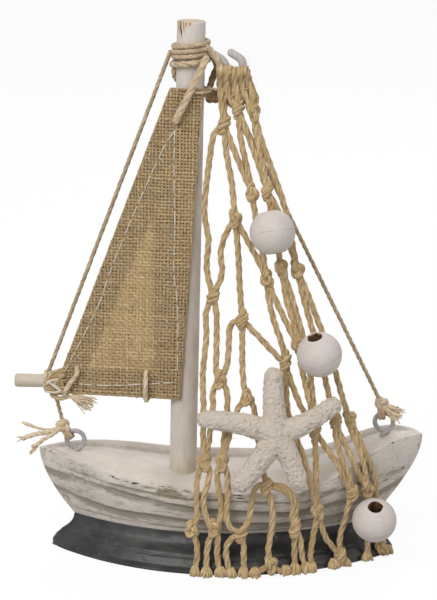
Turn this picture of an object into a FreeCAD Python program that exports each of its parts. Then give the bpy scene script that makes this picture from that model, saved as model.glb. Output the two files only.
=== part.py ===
import FreeCAD, Part
import math
import os
import Sketcher

# A decorative wooden sailing dinghy that stands on its own base.
# A double-ended hull with carved plank lines carries a dowel mast and boom, a burlap sail,
# a cup hook with a knotted cord net, three wooden beads, a starfish and two screw eyes.
# Millimetres. +X points to the bow, +Y to port, away from the decorated side, +Z up.
# The origin is on the underside of the base, at the middle of its length and beam.

Vector = FreeCAD.Vector
X_AXIS = Vector(1, 0, 0)
Y_AXIS = Vector(0, 1, 0)
Z_AXIS = Vector(0, 0, 1)

doc = FreeCAD.newDocument("SailingDinghy")
sheet = doc.addObject("Spreadsheet::Sheet", "Sizes")

# Driving dimensions: alias, value and meaning
SIZES = [
    ("base_length", 159.5, "base, tip to tip at the floor"),
    ("base_beam", 64.0, "base, widest at the floor"),
    ("base_centre", 1.5, "middle of the base, forward of the origin"),
    ("base_lip", 3.0, "upright edge at the foot of the base"),
    ("base_height", 16.0, "top of the base, where the hull sits"),
    ("seat_length", 137.5, "top of the base and bottom of the hull, tip to tip"),
    ("seat_beam", 43.0, "top of the base and bottom of the hull, widest"),
    ("hull_length", 177.5, "hull, tip to tip at the gunwale"),
    ("hull_beam", 59.2, "hull, widest at the gunwale"),
    ("hull_centre", 5.75, "middle of the gunwale, forward of the origin"),
    ("hull_fullness", 2.6, "power that shapes the gunwale's plan"),
    ("stern_rake", 1.7, "power that shapes the stern's profile"),
    ("stem_rake", 1.5, "power that shapes the stem's profile"),
    ("side_flare", 1.4, "power that shapes the side between seat and gunwale"),
    ("sheer_low", 38.7, "gunwale height amidships"),
    ("stern_rise", 9.6, "rise of the gunwale to the stern"),
    ("stern_rise_run", 72.0, "length of the stern rise"),
    ("stern_level", 3.0, "level end of the gunwale at the stern"),
    ("bow_rise", 20.3, "rise of the gunwale to the bow"),
    ("bow_rise_run", 52.0, "length of the bow rise"),
    ("bow_level", 8.5, "level end of the gunwale at the bow"),
    ("groove_width", 1.3, "plank line, along the side"),
    ("groove_depth", 0.5, "plank line, into the side"),
    ("rim_width", 1.4, "flat top of the gunwale"),
    ("channel_inset", 5.2, "from the gunwale in to the lowest line of the deck"),
    ("channel_drop", 3.0, "from the gunwale down to the lowest line of the deck"),
    ("deck_crown", 0.2, "crown of the deck above the gunwale"),
    ("mast_diameter", 12.5, "mast dowel"),
    ("mast_length", 217.9, "mast dowel with its tenon"),
    ("mast_foot_x", -16.4, "mast axis at the deck"),
    ("mast_lean", 1.3, "lean of the mast to the bow, degrees"),
    ("mast_tenon", 12.0, "mast below the deck"),
    ("mast_edge", 0.8, "chamfer at the mast's top"),
    ("seat_clearance", 0.1, "radial gap of a dowel or shank in its hole"),
    ("lie_gap", 0.2, "gap between pieces that lie against each other"),
    ("boom_diameter", 6.2, "boom dowel"),
    ("boom_height", 80.5, "boom axis above the floor"),
    ("boom_length", 71.7, "boom outside the mast"),
    ("boom_tenon", 4.0, "boom inside the mast"),
    ("boom_edge", 2.2, "rounding of the boom's outer end"),
    ("cloth_thickness", 0.7, "one layer of burlap"),
    ("hem_width", 12.5, "folded hem of the sail"),
    ("sail_swing", 3.0, "turn of the sail about the mast, degrees"),
    ("sail_foot_drop", 5.7, "foot of the sail, below the boom's axis"),
    ("sail_head_drop", 28.2, "head of the sail, below the mast's top"),
    ("sail_foot_width", 50.5, "sail along its foot, without the cut corner"),
    ("sail_head_width", 14.2, "sail along its head"),
    ("sail_tack_aft", 1.1, "sail's forward lower corner, aft of the mast axis"),
    ("sail_head_reach", 6.5, "sail's forward upper corner, forward of the mast axis"),
    ("sail_clew_lift", 5.2, "where the leech ends above the foot"),
    ("sail_clew_reach", 5.8, "cut corner at the clew, along the foot"),
    ("loop_hole", 2.9, "hole in the burlap for a cord loop"),
    ("loop_hole_up", 12.2, "loop holes above the foot"),
    ("fore_loop_reach", 16.6, "forward loop, aft of the mast axis"),
    ("aft_loop_reach", 48.2, "after loop, aft of the mast axis"),
    ("aft_loop_slant", 5.8, "after loop's lower end, further aft"),
    ("cord_diameter", 2.8, "net cord and lashing cord"),
    ("stay_diameter", 2.4, "stay cord"),
    ("tail_diameter", 3.4, "loose end of the mast lashing"),
    ("tail_length", 36.0, "loose end of the mast lashing, down the sail"),
    ("tail_reach", 6.0, "end of the loose end, aft of the mast axis"),
    ("lashing_drop", 8.3, "upper edge of the mast lashing, below the mast's top"),
    ("lashing_turns", 4, "turns of cord round the mast"),
    ("boom_tie_inset", 15.9, "cord round the boom, in from its outer end"),
    ("boom_tie_turns", 2, "turns of cord round the boom"),
    ("eye_wire", 1.8, "wire of the screw eyes"),
    ("eye_diameter", 8.6, "screw eye, across the wire's centre"),
    ("eye_shank", 7.0, "screw eye's shank in the deck"),
    ("stern_eye_inset", 16.9, "stern screw eye, in from the stern"),
    ("stern_eye_lift", 5.0, "stern eye's centre above the deck"),
    ("bow_eye_inset", 18.9, "bow screw eye, in from the bow"),
    ("bow_eye_lift", 6.6, "bow eye's centre above the deck"),
    ("stay_knot", 5.4, "knot of a stay"),
    ("stern_loop_angle", 130.0, "where the backstay's loop is on its eye, degrees"),
    ("bow_loop_angle", 98.0, "where the forestay's loop is on its eye, degrees"),
    ("forestay_aside", 28.0, "forestay's start round the lashing, past the hook, degrees"),
    ("hook_wire", 3.4, "wire of the cup hook"),
    ("hook_bend", 5.4, "radius of the hook's round part, to the wire's centre"),
    ("hook_level", 14.2, "hook's shank, below the mast's top"),
    ("hook_reach", 20.6, "round part's centre, forward of the mast axis"),
    ("hook_drop", 4.0, "round part's centre below the shank"),
    ("hook_tenon", 4.0, "hook's shank inside the mast"),
    ("hook_neck", 1.0, "hook's straight shank outside the mast"),
    ("hook_round_end", 325.0, "where the hook's round part ends, degrees"),
    ("hook_crook", 2.8, "radius of the bend back to the hook's tip"),
    ("hook_tip_way", 141.0, "way that the hook's tip points, degrees"),
    ("hook_tip_run", 8.8, "straight end of the hook's tip"),
    ("knot_diameter", 6.2, "knot of the net"),
    ("knot_length", 6.4, "knot of the net, along the cords"),
    ("net_gap", 0.4, "gap between the net's cords and the wood"),
    ("net_rail_aft", 7.4, "net's after edge at the gunwale, forward of the mast"),
    ("net_rail_fore", 25.5, "net's forward edge at the gunwale, in from the bow"),
    ("net_foot_aft", 8.4, "net's after edge at the base, forward of the mast"),
    ("net_foot_fore", 3.5, "net's forward edge at the base, in from its tip"),
    ("net_foot_z", 2.6, "lower ends of the net's cords, at their centre"),
    ("net_head_drop", 3.6, "net's head outside the centre of the hook's wire"),
    ("net_head_start", 205.0, "where the net starts on the hook's round part, degrees"),
    ("net_head_sweep", 110.0, "how far round the hook the net goes, degrees"),
    ("bead_diameter", 20.0, "wooden bead"),
    ("bead_bore", 5.6, "hole through a bead"),
    ("bead_bevel", 0.8, "bevel at the mouth of a bead's hole"),
    ("star_reach", 30.0, "starfish, from its middle to the tip of the upper arm"),
    ("star_arm_root", 8.6, "starfish arm at its root"),
    ("star_arm_tip", 6.6, "starfish arm at its tip"),
    ("star_hub", 11.0, "starfish, diameter of its middle"),
]

for row, (alias, value, meaning) in enumerate(SIZES, start=1):
    sheet.set(f"A{row}", meaning)
    sheet.set(f"B{row}", str(value))
    sheet.setAlias(f"B{row}", alias)
doc.recompute()


def val(alias):
    """The number in a named cell of the sheet."""
    return float(sheet.get(alias))


def cell(expression):
    """A FreeCAD expression from plain alias names, marked with @."""
    return expression.replace("@", "Sizes.")


sub_parts = []


def keep(thing, label):
    """Registers one sub-part under the name that its file gets."""
    thing.Label = label
    sub_parts.append(thing)
    return thing


# Bodies and sketches

def new_body(label):
    return keep(doc.addObject("PartDesign::Body", label), label)


def origin_plane(body, role):
    return next(f for f in body.Origin.OriginFeatures if f.Role == role)


def new_sketch(body, name, role="XY_Plane", lift=None):
    """A sketch on one of the body's own origin planes, lifted by an expression."""
    sketch = body.newObject("Sketcher::SketchObject", name)
    sketch.AttachmentSupport = [(origin_plane(body, role), "")]
    sketch.MapMode = "FlatFace"
    if lift:
        sketch.setExpression("AttachmentOffset.Base.z", cell(lift))
    return sketch


def constrain(sketch, expression, *constraint):
    """Adds a dimension and binds it to an expression of the sheet."""
    index = sketch.addConstraint(Sketcher.Constraint(*constraint))
    sketch.setExpression(f"Constraints[{index}]", cell(expression))


def circle(sketch, radius, centre=(0.0, 0.0)):
    """A circle whose radius is an expression, round a point that stays."""
    ring = sketch.addGeometry(Part.Circle(Vector(*centre, 0), Z_AXIS, 1.0))
    if centre == (0.0, 0.0):
        sketch.addConstraint(Sketcher.Constraint("Coincident", ring, 3, -1, 1))
    constrain(sketch, radius, "Radius", ring, 1.0)


def lens(sketch, length, beam, centre, length_now, beam_now):
    """Two equal arcs that meet in a point at each end, symmetric about the X axis."""
    half = length_now / 2
    rise = beam_now / 2
    middle = val("base_centre")
    fore = Vector(middle + half, 0, 0)
    aft = Vector(middle - half, 0, 0)
    port = sketch.addGeometry(Part.Arc(fore, Vector(middle, rise, 0), aft))
    starboard = sketch.addGeometry(Part.Arc(aft, Vector(middle, -rise, 0), fore))
    sketch.addConstraint(Sketcher.Constraint("Coincident", port, 1, starboard, 2))
    sketch.addConstraint(Sketcher.Constraint("Coincident", port, 2, starboard, 1))
    sketch.addConstraint(Sketcher.Constraint("PointOnObject", port, 1, -1))
    sketch.addConstraint(Sketcher.Constraint("PointOnObject", port, 2, -1))
    radius = (half * half + rise * rise) / (2 * rise)
    bend = f"(({length})^2 + ({beam})^2) / (4 * ({beam}))"
    constrain(sketch, length, "DistanceX", port, 2, port, 1, 2 * half)
    constrain(sketch, f"({length}) / 2 + {centre}", "DistanceX", -1, 1, port, 1, middle + half)
    constrain(sketch, bend, "Radius", port, radius)
    constrain(sketch, bend, "Radius", starboard, radius)


# Base

# The cove's outlines: share of the height above the lip, and of the way in to the seat
COVE = [(0.0, 0.0), (0.33, 0.30), (0.67, 0.80), (1.0, 1.0)]


def make_base():
    """A lens-shaped plinth: an upright lip, then a cove that draws in to the hull's seat."""
    base = new_body("base")
    foot = new_sketch(base, "BaseFoot")
    lens(foot, "@base_length", "@base_beam", "@base_centre", val("base_length"), val("base_beam"))
    lip = base.newObject("PartDesign::Pad", "BaseLip")
    lip.Profile = foot
    lip.setExpression("Length", cell("@base_lip"))
    doc.recompute()
    outlines = []
    for number, (up, gone) in enumerate(COVE):
        height = f"@base_lip + (@base_height - @base_lip) * {up}"
        length = f"@base_length - (@base_length - @seat_length) * {gone}"
        beam = f"@base_beam - (@base_beam - @seat_beam) * {gone}"
        length_now = val("base_length") - (val("base_length") - val("seat_length")) * gone
        beam_now = val("base_beam") - (val("base_beam") - val("seat_beam")) * gone
        sketch = new_sketch(base, f"BaseOutline{number}", lift=height)
        lens(sketch, length, beam, "@base_centre", length_now, beam_now)
        outlines.append(sketch)
    cove = base.newObject("PartDesign::AdditiveLoft", "BaseCove")
    cove.Profile = outlines[0]
    cove.Sections = outlines[1:]
    doc.recompute()
    return base


# Hull

def smooth(share):
    """Goes from 0 to 1 with level ends."""
    share = min(max(share, 0.0), 1.0)
    return share * share * (3 - 2 * share)


def hull_tip(side):
    """Where the gunwale ends: side is -1 at the stern and 1 at the bow."""
    return val("hull_centre") + side * val("hull_length") / 2


def sheer(x):
    """Height of the gunwale at a station."""
    from_stern = x - hull_tip(-1) - val("stern_level")
    from_bow = hull_tip(1) - val("bow_level") - x
    stern = smooth(1 - from_stern / val("stern_rise_run"))
    bow = smooth(1 - from_bow / val("bow_rise_run"))
    return val("sheer_low") + val("stern_rise") * stern + val("bow_rise") * bow


def arc_share(along, length, beam):
    """Half width of a lens of two arcs, at along = -1 .. 1 of its half length."""
    half = length / 2
    rise = beam / 2
    radius = (half * half + rise * rise) / (2 * rise)
    return math.sqrt(radius * radius - (half * along) ** 2) - (radius - rise)


def gunwale_half(along):
    """Half width of the gunwale at along = -1 .. 1 of its half length."""
    return val("hull_beam") / 2 * (1 - abs(along) ** val("hull_fullness"))


def gunwale_half_at(x):
    """Half width of the gunwale at a station."""
    along = (x - val("hull_centre")) / (val("hull_length") / 2)
    return gunwale_half(min(max(along, -1.0), 1.0))


def base_half_at(x):
    """Half width of the base's foot at a station."""
    along = (x - val("base_centre")) / (val("base_length") / 2)
    return arc_share(min(max(along, -1.0), 1.0), val("base_length"), val("base_beam"))


def side_point(along, up, inset=0.0):
    """A point of the hull's side: along = -1 .. 1 to the bow, up = 0 at the seat .. 1."""
    seat_aft = val("base_centre") - val("seat_length") / 2
    seat_fore = val("base_centre") + val("seat_length") / 2
    aft = seat_aft + (hull_tip(-1) - seat_aft) * (1 - (1 - up) ** val("stern_rake"))
    fore = seat_fore + (hull_tip(1) - seat_fore) * (1 - (1 - up) ** val("stem_rake"))
    x = (aft + fore) / 2 + along * (fore - aft) / 2
    rail_x = val("hull_centre") + along * val("hull_length") / 2
    z = val("base_height") + up * (sheer(rail_x) - val("base_height"))
    seat_half = arc_share(along, val("seat_length"), val("seat_beam"))
    flare = 1 - (1 - up) ** val("side_flare")
    half = seat_half + (gunwale_half(along) - seat_half) * flare
    fade = 1 - along ** 4
    return Vector(x, half - inset * fade, z)


def deck_point(along, inset, drop):
    """A point of the deck: inset from the gunwale and below it, both fading at the ends."""
    half_length = val("hull_length") / 2 - inset
    x = val("hull_centre") + along * half_length
    share = 1 - inset / (val("hull_beam") / 2)
    fade = 1 - along ** 4
    return Vector(x, gunwale_half(along) * share, sheer(x) - drop * fade)


STATIONS = 17  # points along each of the hull's lines


def hull_line(place):
    """A curve from the stern to the bow through the points that place(along) gives."""
    curve = Part.BSplineCurve()
    alongs = [-math.cos(math.pi * i / (STATIONS - 1)) for i in range(STATIONS)]
    curve.interpolate([place(along) for along in alongs])
    return curve.toShape()


def mirrored(point):
    return Vector(point.x, -point.y, point.z)


def hull_lines():
    """The hull's lines from the seat up to the gunwale and in over the deck."""
    side_height = val("sheer_low") - val("base_height")
    half_groove = val("groove_width") / 2 / side_height
    lines = [lambda s: side_point(s, 0.0)]
    for middle in (0.26, 0.52, 0.77):
        lines.append(lambda s, m=middle: side_point(s, m - half_groove))
        lines.append(lambda s, m=middle: side_point(s, m, val("groove_depth")))
        lines.append(lambda s, m=middle: side_point(s, m + half_groove))
    lines.append(lambda s: side_point(s, 1.0))
    lines.append(lambda s: deck_point(s, val("rim_width"), 0.0))
    lines.append(lambda s: deck_point(s, val("channel_inset"), val("channel_drop")))
    halfway = (val("channel_inset") + val("hull_beam") / 2) / 2
    sag = (val("channel_drop") - val("deck_crown")) / 2
    lines.append(lambda s: deck_point(s, halfway, sag))
    return lines


def make_hull():
    """A double-ended block: planks between carved lines, and a deck inside a low rim."""
    port = [hull_line(line) for line in hull_lines()]
    starboard = [hull_line(lambda s, p=line: mirrored(p(s))) for line in hull_lines()]
    ridge = hull_line(lambda s: deck_ridge(s))
    faces = [Part.Face(Part.Wire([port[0], starboard[0]]))]
    for edges in (port, starboard):
        for lower, upper in zip(edges, edges[1:]):
            faces.append(Part.makeRuledSurface(lower, upper))
        faces.append(Part.makeRuledSurface(edges[-1], ridge))
    shell = Part.makeShell(faces)
    shell.sewShape()
    solid = Part.makeSolid(Part.Shell(shell.Faces))
    if solid.Volume < 0:
        solid.reverse()
    solid = solid.cut(mast_cylinder(val("seat_clearance")))
    for name in ("stern", "bow"):
        solid = solid.cut(eye_shank(name, val("seat_clearance")))
    hull = keep(doc.addObject("Part::Feature", "hull"), "hull")
    hull.Shape = solid
    return hull


def deck_ridge(along):
    """The crown of the deck, on the centre line."""
    inset = (val("channel_inset") + val("hull_beam") / 2) / 2
    x = val("hull_centre") + along * (val("hull_length") / 2 - inset)
    fade = 1 - along ** 4
    return Vector(x, 0, sheer(x) + val("deck_crown") * fade)


def deck_height(x):
    """Height of the deck on the centre line at a station."""
    inset = (val("channel_inset") + val("hull_beam") / 2) / 2
    along = (x - val("hull_centre")) / (val("hull_length") / 2 - inset)
    along = min(max(along, -1.0), 1.0)
    return deck_ridge(along).z


# Mast and boom

def mast_placement():
    """Stands the mast on the bottom of its hole in the deck, leaning to the bow."""
    lean = FreeCAD.Rotation(Y_AXIS, val("mast_lean"))
    foot = Vector(val("mast_foot_x"), 0, deck_height(val("mast_foot_x")))
    return FreeCAD.Placement(foot - lean.multVec(Z_AXIS) * val("mast_tenon"), lean)


def mast_cylinder(clearance):
    """The mast's hole in the hull."""
    hole = Part.makeCylinder(val("mast_diameter") / 2 + clearance, val("mast_length"))
    hole.Placement = mast_placement()
    return hole


def mast_x(z):
    """Where the mast's axis is at a height."""
    foot = mast_placement().Base
    return foot.x + (z - foot.z) * math.tan(math.radians(val("mast_lean")))


def below_mast_top(drop):
    """A height given by its drop below the mast's top."""
    return mast_placement().multVec(Z_AXIS * val("mast_length")).z - val(drop)


def hook_height():
    return below_mast_top("hook_level")


def make_mast():
    """A dowel with a chamfered top, the boom's socket and the hook's hole."""
    mast = new_body("mast")
    section = new_sketch(mast, "MastSection")
    circle(section, "@mast_diameter / 2")
    pad = mast.newObject("PartDesign::Pad", "MastDowel")
    pad.Profile = section
    pad.setExpression("Length", cell("@mast_length"))
    doc.recompute()
    top = max(range(len(pad.Shape.Edges)), key=lambda i: pad.Shape.Edges[i].CenterOfMass.z)
    edge = mast.newObject("PartDesign::Chamfer", "MastEdge")
    edge.Base = (pad, [f"Edge{top + 1}"])
    edge.setExpression("Size", cell("@mast_edge"))
    doc.recompute()
    mast.Placement = mast_placement()
    foot = mast_placement().Base
    head = below_mast_top("hook_level") + val("hook_level")
    for name, height, level, bore, depth, side in (
        ("BoomSocket", "@boom_height", val("boom_height"), "boom_diameter", "boom_tenon", -1),
        ("HookHole", f"{head} - @hook_level", hook_height(), "hook_wire", "hook_tenon", 1),
    ):
        bottom = f"{side} * (@mast_diameter / 2 - @{depth} - @seat_clearance)"
        drill = new_sketch(mast, name + "Circle", role="YZ_Plane", lift=bottom)
        now = (level - foot.z) / math.cos(math.radians(val("mast_lean")))
        hole = drill.addGeometry(Part.Circle(Vector(0, now, 0), Z_AXIS, val(bore) / 2))
        drill.addConstraint(Sketcher.Constraint("PointOnObject", hole, 3, -2))
        up = f"({height} - {foot.z}) / cos(@mast_lean * 1 deg)"
        constrain(drill, up, "DistanceY", -1, 1, hole, 3, now)
        constrain(drill, f"@{bore} / 2 + @seat_clearance", "Radius", hole, val(bore) / 2)
        solid_before = mast.Shape.Volume
        pocket = mast.newObject("PartDesign::Pocket", name)
        pocket.Profile = drill
        pocket.Type = "Length"
        pocket.setExpression("Length", cell("@mast_diameter"))
        pocket.Reversed = side > 0
        doc.recompute()
        if mast.Shape.Volume >= solid_before:
            raise RuntimeError(f"{name} cuts nothing")
    return mast


def boom_end():
    """Where the boom's outer end is."""
    return mast_x(val("boom_height")) - val("mast_diameter") / 2 - val("boom_length")


def make_boom():
    """A level dowel, plugged into the mast, with a rounded outer end."""
    boom = new_body("boom")
    section = new_sketch(boom, "BoomSection", role="YZ_Plane")
    circle(section, "@boom_diameter / 2")
    pad = boom.newObject("PartDesign::Pad", "BoomDowel")
    pad.Profile = section
    pad.setExpression("Length", cell("@boom_length + @boom_tenon"))
    doc.recompute()
    outer = min(range(len(pad.Shape.Edges)), key=lambda i: pad.Shape.Edges[i].CenterOfMass.x)
    edge = boom.newObject("PartDesign::Fillet", "BoomEnd")
    edge.Base = (pad, [f"Edge{outer + 1}"])
    edge.setExpression("Radius", cell("@boom_edge"))
    doc.recompute()
    boom.Placement = FreeCAD.Placement(Vector(boom_end(), 0, 0), FreeCAD.Rotation())
    boom.setExpression("Placement.Base.z", cell("@boom_height"))
    doc.recompute()
    return boom


# Sail

def sail_foot():
    """Height of the sail's foot."""
    return val("boom_height") - val("sail_foot_drop")


def sail_height():
    """The sail's head above its foot."""
    return below_mast_top("sail_head_drop") - sail_foot()


def sail_placement():
    """A frame on the mast's axis at the sail's foot, swung so that the clew meets the boom."""
    lean = FreeCAD.Rotation(Y_AXIS, val("mast_lean"))
    swing = FreeCAD.Rotation(Z_AXIS, -val("sail_swing"))
    foot = Vector(mast_x(sail_foot()), 0, sail_foot())
    return FreeCAD.Placement(foot, lean * swing)


def sail_point(reach, depth, up):
    """A point by its reach forward of the mast, its depth to starboard and its height."""
    return sail_placement().multVec(Vector(reach, -depth, up))


def sail_back():
    """Distance of the burlap's back from the mast's axis."""
    return val("mast_diameter") / 2 + val("lie_gap")


def polygon(sketch, corners):
    """A closed outline whose corners are pairs of expressions, each with its present value."""
    points = [Vector(x_now, y_now, 0) for (_, x_now), (_, y_now) in corners]
    lines = []
    for start, end in zip(points, points[1:] + points[:1]):
        lines.append(sketch.addGeometry(Part.LineSegment(start, end)))
    for first, second in zip(lines, lines[1:] + lines[:1]):
        sketch.addConstraint(Sketcher.Constraint("Coincident", first, 2, second, 1))
    for line, ((x, x_now), (y, y_now)) in zip(lines, corners):
        place(sketch, "DistanceX", line, x, x_now)
        place(sketch, "DistanceY", line, y, y_now)


def place(sketch, kind, line, expression, now):
    """Sets a line's start off the origin along one axis, whichever side it is on."""
    if now < 0:
        constrain(sketch, f"-({expression})", kind, line, 1, -1, 1, -now)
    elif expression == "0":
        on_axis = -1 if kind == "DistanceY" else -2
        sketch.addConstraint(Sketcher.Constraint("PointOnObject", line, 1, on_axis))
    else:
        constrain(sketch, expression, kind, -1, 1, line, 1, now)


def leech_reach(up, inset=0.0):
    """Where the leech, or a line inside it, is at a height above the foot."""
    head = val("sail_head_reach") - val("sail_head_width")
    clew = -val("sail_tack_aft") - val("sail_foot_width") - val("sail_clew_reach")
    slope = (head - clew) / (sail_height() - val("sail_clew_lift"))
    return clew + slope * (up - val("sail_clew_lift")) + inset * math.hypot(1, slope)


def make_sail():
    """A burlap panel with folded hems round a single layer, and two holes for cord loops."""
    sail = new_body("sail")
    height = sail_height()
    tack = -val("sail_tack_aft")
    clew = tack - val("sail_foot_width")
    head = val("sail_head_reach")
    outline = new_sketch(sail, "SailOutline", role="XZ_Plane")
    foot_end = "-@sail_tack_aft - @sail_foot_width"
    polygon(outline, [
        (("-@sail_tack_aft", tack), ("0", 0.0)),
        (("@sail_head_reach", head), (str(height), height)),
        (("@sail_head_reach - @sail_head_width", head - val("sail_head_width")),
         (str(height), height)),
        ((foot_end + " - @sail_clew_reach", clew - val("sail_clew_reach")),
         ("@sail_clew_lift", val("sail_clew_lift"))),
        ((foot_end, clew), ("0", 0.0)),
    ])
    outline.setExpression("AttachmentOffset.Base.z", cell("@mast_diameter / 2 + @lie_gap"))
    cloth = sail.newObject("PartDesign::Pad", "SailHem")
    cloth.Profile = outline
    cloth.setExpression("Length", cell("2 * @cloth_thickness"))
    doc.recompute()
    inner = new_sketch(sail, "SailInner", role="XZ_Plane")
    inner.setExpression("AttachmentOffset.Base.z", cell("@mast_diameter / 2 + @lie_gap"))
    hem = val("hem_width")
    low = leech_reach(hem, hem)
    slope = leech_reach(1.0) - leech_reach(0.0)
    peak = hem + (-hem - low) / slope
    polygon(inner, [
        (("-@hem_width", -hem), ("@hem_width", hem)),
        (("-@hem_width", -hem), (str(peak), peak)),
        ((str(low), low), ("@hem_width", hem)),
    ])
    panel = sail.newObject("PartDesign::Pocket", "SailPanel")
    panel.Profile = inner
    panel.Type = "Length"
    panel.setExpression("Length", cell("@cloth_thickness"))
    panel.Reversed = True
    doc.recompute()
    holes = new_sketch(sail, "SailHoles", role="XZ_Plane")
    for reach in ("fore_loop_reach", "aft_loop_reach"):
        centre = Vector(-val(reach), val("loop_hole_up"), 0)
        ring = holes.addGeometry(Part.Circle(centre, Z_AXIS, val("loop_hole") / 2))
        constrain(holes, f"@{reach}", "DistanceX", ring, 3, -1, 1, val(reach))
        constrain(holes, "@loop_hole_up", "DistanceY", -1, 1, ring, 3, val("loop_hole_up"))
        constrain(holes, "@loop_hole / 2", "Radius", ring, val("loop_hole") / 2)
    eyelets = sail.newObject("PartDesign::Pocket", "SailEyelets")
    eyelets.Profile = holes
    eyelets.Type = "Length"
    eyelets.setExpression("Length", cell("@mast_diameter"))
    eyelets.Reversed = True
    doc.recompute()
    sail.Placement = sail_placement()
    return sail


# Cords

def tube(points, radius):
    """A round cord along straight runs that are joined by tangent arcs."""
    if len(points) == 2:
        run = points[1] - points[0]
        return Part.makeCylinder(radius, run.Length, points[0], run)
    edges = []
    start = points[0]
    for before, corner, after in zip(points, points[1:], points[2:]):
        back = before - corner
        on = after - corner
        trim = 0.45 * min(back.Length, on.Length)
        enter = corner + back.normalize() * trim
        leave = corner + on.normalize() * trim
        turn = math.pi - back.getAngle(on)
        bend = trim / math.tan(turn / 2)
        centre = corner + (back + on).normalize() * (bend / math.cos(turn / 2))
        middle = centre + (corner - centre).normalize() * bend
        edges.append(Part.LineSegment(start, enter).toShape())
        edges.append(Part.Arc(enter, middle, leave).toShape())
        start = leave
    edges.append(Part.LineSegment(start, points[-1]).toShape())
    path = Part.Wire(edges)
    section = Part.Wire(Part.makeCircle(radius, points[0], points[1] - points[0]))
    return path.makePipeShell([section], True, False)


def cord(label, points, diameter, ends=()):
    """A sub-part from one cord and the solids fused to its ends."""
    solid = tube(points, diameter / 2)
    for end in ends:
        solid = solid.fuse(end)
    piece = keep(doc.addObject("Part::Feature", label), label)
    piece.Shape = solid.removeSplitter()
    return piece


def wraps(label, inner, turns, thickness, middle, axis):
    """Turns of cord side by side round a dowel, as one ribbed collar."""
    low = -turns * thickness / 2
    edges = []
    for turn in range(turns):
        start = Vector(inner + thickness / 2, 0, low + turn * thickness)
        crest = Vector(inner + thickness, 0, start.z + thickness / 2)
        end = Vector(inner + thickness / 2, 0, start.z + thickness)
        edges.append(Part.Arc(start, crest, end).toShape())
    bottom = Vector(inner, 0, low)
    top = Vector(inner, 0, -low)
    edges.append(Part.LineSegment(end, top).toShape())
    edges.append(Part.LineSegment(top, bottom).toShape())
    edges.append(Part.LineSegment(bottom, Vector(inner + thickness / 2, 0, low)).toShape())
    profile = Part.Face(Part.Wire(Part.__sortEdges__(edges)))
    piece = keep(doc.addObject("Part::Feature", label), label)
    piece.Shape = profile.revolve(Vector(0, 0, 0), Z_AXIS, 360)
    piece.Placement = FreeCAD.Placement(middle, FreeCAD.Rotation(Z_AXIS, axis))
    return piece


def lashing_radius():
    """Outer radius of the mast lashing."""
    return val("mast_diameter") / 2 + val("seat_clearance") + val("cord_diameter")


def lashing_middle():
    z = below_mast_top("lashing_drop") - val("lashing_turns") * val("cord_diameter") / 2
    return Vector(mast_x(z), 0, z)


def boom_tie_middle():
    return Vector(boom_end() + val("boom_tie_inset"), 0, val("boom_height"))


def hole_for_hook(solid):
    """The solid with room for the hook's shank."""
    start = Vector(mast_x(hook_height()), 0, hook_height())
    radius = val("hook_wire") / 2 + val("seat_clearance")
    return solid.cut(Part.makeCylinder(radius, val("mast_diameter"), start, X_AXIS))


def make_lashings():
    """The collar of cord at the mast's head, its loose end, and the tie round the boom."""
    lean = mast_placement().Rotation.multVec(Z_AXIS)
    inner = val("mast_diameter") / 2 + val("seat_clearance")
    turns = int(val("lashing_turns"))
    collar = wraps("mast_lashing", inner, turns, val("cord_diameter"), lashing_middle(), lean)
    collar.Shape = hole_for_hook(collar.Shape)
    inner = val("boom_diameter") / 2 + val("seat_clearance")
    turns = int(val("boom_tie_turns"))
    wraps("boom_tie", inner, turns, val("stay_diameter"), boom_tie_middle(), X_AXIS)
    head = lashing_middle()
    thick = val("tail_diameter")
    clear = lashing_radius() + thick / 2 + val("lie_gap")
    on_cloth = sail_back() + 2 * val("cloth_thickness") + thick / 2 + val("lie_gap")
    lashing_half = val("lashing_turns") * val("cord_diameter") / 2
    start = head + Vector(clear, -clear, 0) * math.sqrt(0.5)
    end_up = head.z + lashing_half - val("tail_length") - sail_foot()
    end = sail_point(-val("tail_reach"), on_cloth, end_up)
    halfway = head.z - (head.z - end.z) * 0.42
    turn = Vector(head.x + (end.x - head.x) * -0.3, -clear - thick / 5, halfway)
    cord("lashing_tail", [start, turn, end], thick)


def make_cord_loops():
    """Two loops of cord that tie the sail's foot to the boom, through holes in the burlap."""
    thickness = val("stay_diameter")
    front = sail_back() + 2 * val("cloth_thickness") + thickness / 2 + val("lie_gap")
    behind = val("boom_diameter") / 2 + thickness / 2 + val("lie_gap")
    top = val("loop_hole_up")
    bottom = -thickness / 2 - val("lie_gap")
    for label, reach, slant in (
        ("foot_loop_fore", "fore_loop_reach", 0.0),
        ("foot_loop_aft", "aft_loop_reach", val("aft_loop_slant")),
    ):
        high = -val(reach)
        low = high - slant
        back = behind - math.sin(math.radians(val("sail_swing"))) * val(reach)
        half = thickness / 8
        middle = val("sail_foot_drop")
        path = [
            sail_point((high + low) / 2, -back, middle + half),
            sail_point(high, -back, top),
            sail_point(high, front, top),
            sail_point(low, front, bottom),
            sail_point(low, -back, bottom),
            sail_point((high + low) / 2, -back, middle - half),
        ]
        knot_at = sail_point((high + low) / 2, -back - thickness / 4, middle)
        cord(label, path, thickness, [Part.makeSphere(thickness * 0.75, knot_at)])


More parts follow.
